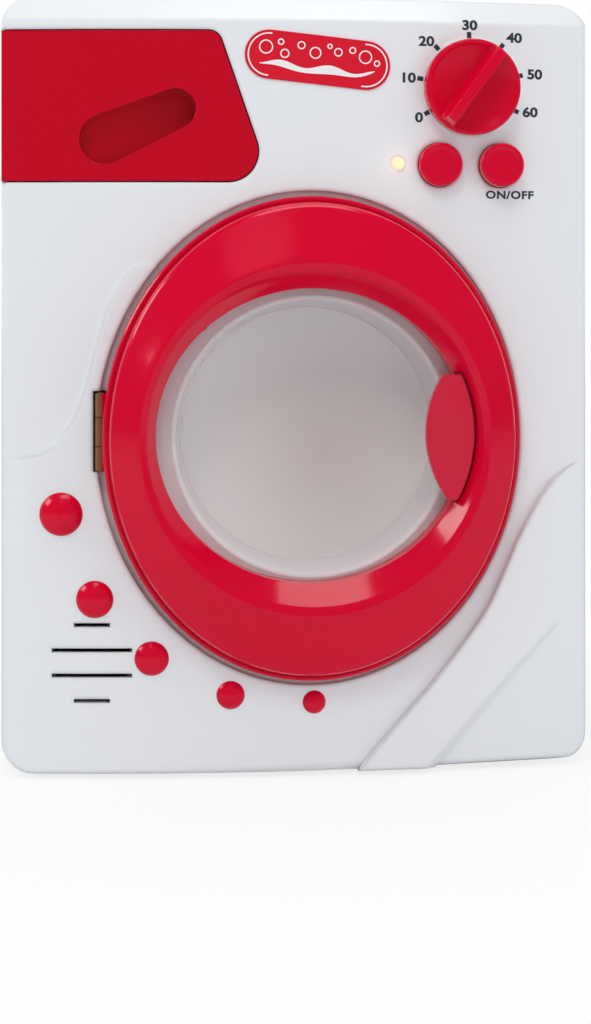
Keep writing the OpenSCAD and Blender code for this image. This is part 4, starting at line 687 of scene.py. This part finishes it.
print_shape = bmesh.new()
for number, (mark, figure) in dial_marks.items():
    add_words(print_shape, str(number), figure[0], figure[1], FIGURE_HEIGHT)
    outward = math.atan2(mark[1] - DIAL_Z, mark[0] - DIAL_X)
    place = Matrix.Translation(at(mark[0], 0.0, mark[1])) @ Matrix.Rotation(-outward, 4, "Y")
    stretch = Matrix.Diagonal((MARK_LENGTH / 1000, MARK_WIDTH / 1000, 1.0, 1.0))
    bmesh.ops.create_grid(
        print_shape, x_segments=2, y_segments=1, size=0.5,
        matrix=place @ Matrix.Rotation(math.pi / 2, 4, "X") @ stretch,
    )
add_words(print_shape, "ON/OFF", 78.6, 213.4, WORD_HEIGHT, spacing=1.1)
bend_onto_front(print_shape.verts, PRINT_LIFT)
# Dark and dull against the glossy white
slate = finish("slate_pad_print", "#2f3b46", 0.45, bump=0.03)
piece("dial_print", print_shape, "housing", "vinyl_print", slate)

# Front badge
# A red vinyl sticker with rounded ends, stuck on the front at a slant. Its print is generic, in
# white ink: soap bubbles over a wave, inside a fine line.
BADGE_X = 6.0
BADGE_Z = 262.5
BADGE_TILT = math.radians(6)
BADGE_LIFT = 0.46
LINE_HALF_HEIGHT = 8.0
LINE_REACH = 18.0
LINE_WIDTH = 0.5
BUBBLE_LINE = 0.45
WATER_HALF = 21.5
WATER_MIDDLE = -2.6
RIPPLE_LENGTH = 2.9
# Where each bubble stands from the badge's middle, and its radius
bubbles = (
    (-19.5, 2.6, 2.6), (-14.2, 5.0, 1.2), (-12.4, 0.9, 1.7), (-6.6, 4.6, 1.5), (-1.2, 2.4, 2.2),
    (3.9, 5.4, 1.0), (7.2, 3.6, 1.6), (12.4, 4.9, 1.3), (17.4, 3.0, 2.5), (21.9, 1.2, 1.2),
)


def add_outline(shape, x, z, radius, stroke, reach=0.0, segments=64):
    """Adds a printed line round a circle, or round a bar when its halves lie apart."""
    edges = set()
    for grown in (radius, radius - stroke):
        turn = Matrix.Rotation(math.pi / 2, 4, "X")
        loop = bmesh.ops.create_circle(shape, segments=segments, radius=grown / 1000, matrix=turn)
        for vert in loop["verts"]:
            vert.co += Vector((x / 1000 + math.copysign(reach / 1000, vert.co.x), 0.0, z / 1000))
            edges |= set(vert.link_edges)
    bmesh.ops.bridge_loops(shape, edges=list(edges))


badge_shape = bmesh.new()
add_outline(badge_shape, 0.0, 0.0, LINE_HALF_HEIGHT, LINE_WIDTH, reach=LINE_REACH)
for x, z, radius in bubbles:
    add_outline(badge_shape, x, z, radius, BUBBLE_LINE, segments=36)
water = bmesh.ops.create_grid(badge_shape, x_segments=72, y_segments=2, size=1.0)
for vert in water["verts"]:
    x = WATER_HALF * vert.co.x
    ripple = math.sin(x / RIPPLE_LENGTH)
    swell = math.cos(x / WATER_HALF * math.pi / 2) ** 0.6
    crest = WATER_MIDDLE + ripple
    foot = crest - swell * (2.6 + 0.8 * ripple)
    vert.co = Vector((x, 0.0, foot + (crest - foot) * (vert.co.y + 1) / 2)) / 1000
place = Matrix.Translation((BADGE_X / 1000, 0.0, BADGE_Z / 1000))
bmesh.ops.transform(
    badge_shape, verts=badge_shape.verts, matrix=place @ Matrix.Rotation(BADGE_TILT, 4, "Y"),
)
bend_onto_front(badge_shape.verts, BADGE_LIFT)
bmesh.ops.recalc_face_normals(badge_shape, faces=badge_shape.faces)
for face in badge_shape.faces:
    if face.normal.y > 0:
        face.normal_flip()
# Opaque white with a slight sheen
white_ink = finish("white_vinyl_print", "#f4f5f6", 0.3, bump=0.03)
piece("badge_print", badge_shape, "housing", "vinyl_print", white_ink)
# A brighter and flatter red than the mouldings
sticker_red = finish("vinyl_sticker", "#e0102c", 0.25, edge_mm=0.2)
dress(sticker_red, "front_badge")

# Screws, pins and other steel
# Self-tapping screws, pins, the washer, the drum's shaft, the cells' contacts and the motor's can
# are zinc-plated steel: pale grey metal, bright but finely grained.
zinc = finish(
    "zinc_plated_steel", "#b9bcc0", 0.28, ripple_mm=0.5, bump=0.05, edge_mm=0.15, metal=1.0,
)
dress(
    zinc, "housing_screws", "tub_screws", "gearbox_screws", "window_screws", "guide_screws",
    "knob_washer", "knob_screw", "board_screws", "speaker_screws", "battery_box_screws",
    "battery_cover_screw", "drum_shaft", "gear_pin", "motor_shaft", "handle_pin",
    "battery_contacts", "motor",
)

# Bearing, pinion and gears
# The bearing and the motor's pinion are pressed from bronze powder, yellow and finely pitted.
# The two large gears are moulded in natural acetal, an ivory plastic with a soft sheen.
bronze = finish("sintered_bronze", "#b48a4c", 0.4, ripple_mm=0.33, bump=0.1, metal=1.0)
dress(bronze, "drum_bearing", "motor_pinion")
acetal = finish("natural_acetal", "#e8e5dc", 0.4)
dress(acetal, "drum_gear", "compound_gear")

# Feet
# Four black pads of moulded rubber, which lift the body off the floor and are stuck on under
# its corners. Their matt grain hardly shines at all.
rubber = finish("foot_rubber", "#242526", 0.7, bump=0.2)
dress(rubber, "foot_pads")

# Switches, loudspeaker and board
# The switches' housings and the loudspeaker's cone are black plastic with a soft shine. The
# circuit board is glass laminate under green lacquer, screwed to posts behind the buttons.
black_plastic = finish("black_plastic", "#1d1e20", 0.45)
dress(black_plastic, "start_switch", "power_switch", "speaker")
green_board = finish("green_board", "#1f6a3c", 0.35)
dress(green_board, "circuit_board")

# Cells and leads
# Three cells in printed jackets, here plain slate with a low gloss. The leads are fine wires in
# soft vinyl, red for the cells, yellow for the loudspeaker and black for the motor.
jacket = finish("cell_jacket", "#3a4048", 0.3)
dress(jacket, "battery_cells")
for leads, name, code in (
    ("battery_leads", "red_wire", "#a01818"),
    ("speaker_leads", "yellow_wire", "#c9a227"),
    ("motor_leads", "black_wire", "#1a1a1c"),
):
    dress(finish(name, code, 0.4), leads)

# Lamp
# A small lamp in a diffused epoxy body, soldered to the board behind a hole in the front. It is
# lit warm white, yellow at its middle and pinker at its rim, with a faint glow round it.
LED_X = 35.9
LED_Z = 224.8
LED_GLOW = 1.15
LED_CORE = 0.6
LED_RIM = 2.6
HALO_WATTS = 0.0003
lit_lamp = finish("lit_lamp", "#8f7a52", 0.2)
tree = lit_lamp.node_tree
where = add_node(tree, "ShaderNodeTexCoord")
off_axis = add_node(tree, "ShaderNodeVectorMath", {
    0: where.outputs["Object"], 1: at(LED_X, -1.2, LED_Z),
}, operation="DISTANCE")
rim = add_node(tree, "ShaderNodeMapRange", {
    "Value": off_axis.outputs["Value"], "From Min": LED_CORE / 1000, "From Max": LED_RIM / 1000,
})
warmth = add_node(tree, "ShaderNodeMix", {
    0: rim.outputs["Result"], 6: linear("#fff0a8"), 7: linear("#ffc2b0"),
}, data_type="RGBA")
shader = next(node for node in tree.nodes if node.type == "BSDF_PRINCIPLED")
shader.inputs["Emission Strength"].default_value = LED_GLOW
tree.links.new(warmth.outputs[2], shader.inputs["Emission Color"])
dress(lit_lamp, "led")
halo = bpy.data.lights.new("lamp_halo", "POINT")
halo.energy = HALO_WATTS
halo.color = linear("#ffcebc")[:3]
halo.shadow_soft_size = 0.001
halo_object = add_object("lamp_halo", halo)
halo_object.location = at(LED_X, -5.0, LED_Z)
halo_object.visible_glossy = False
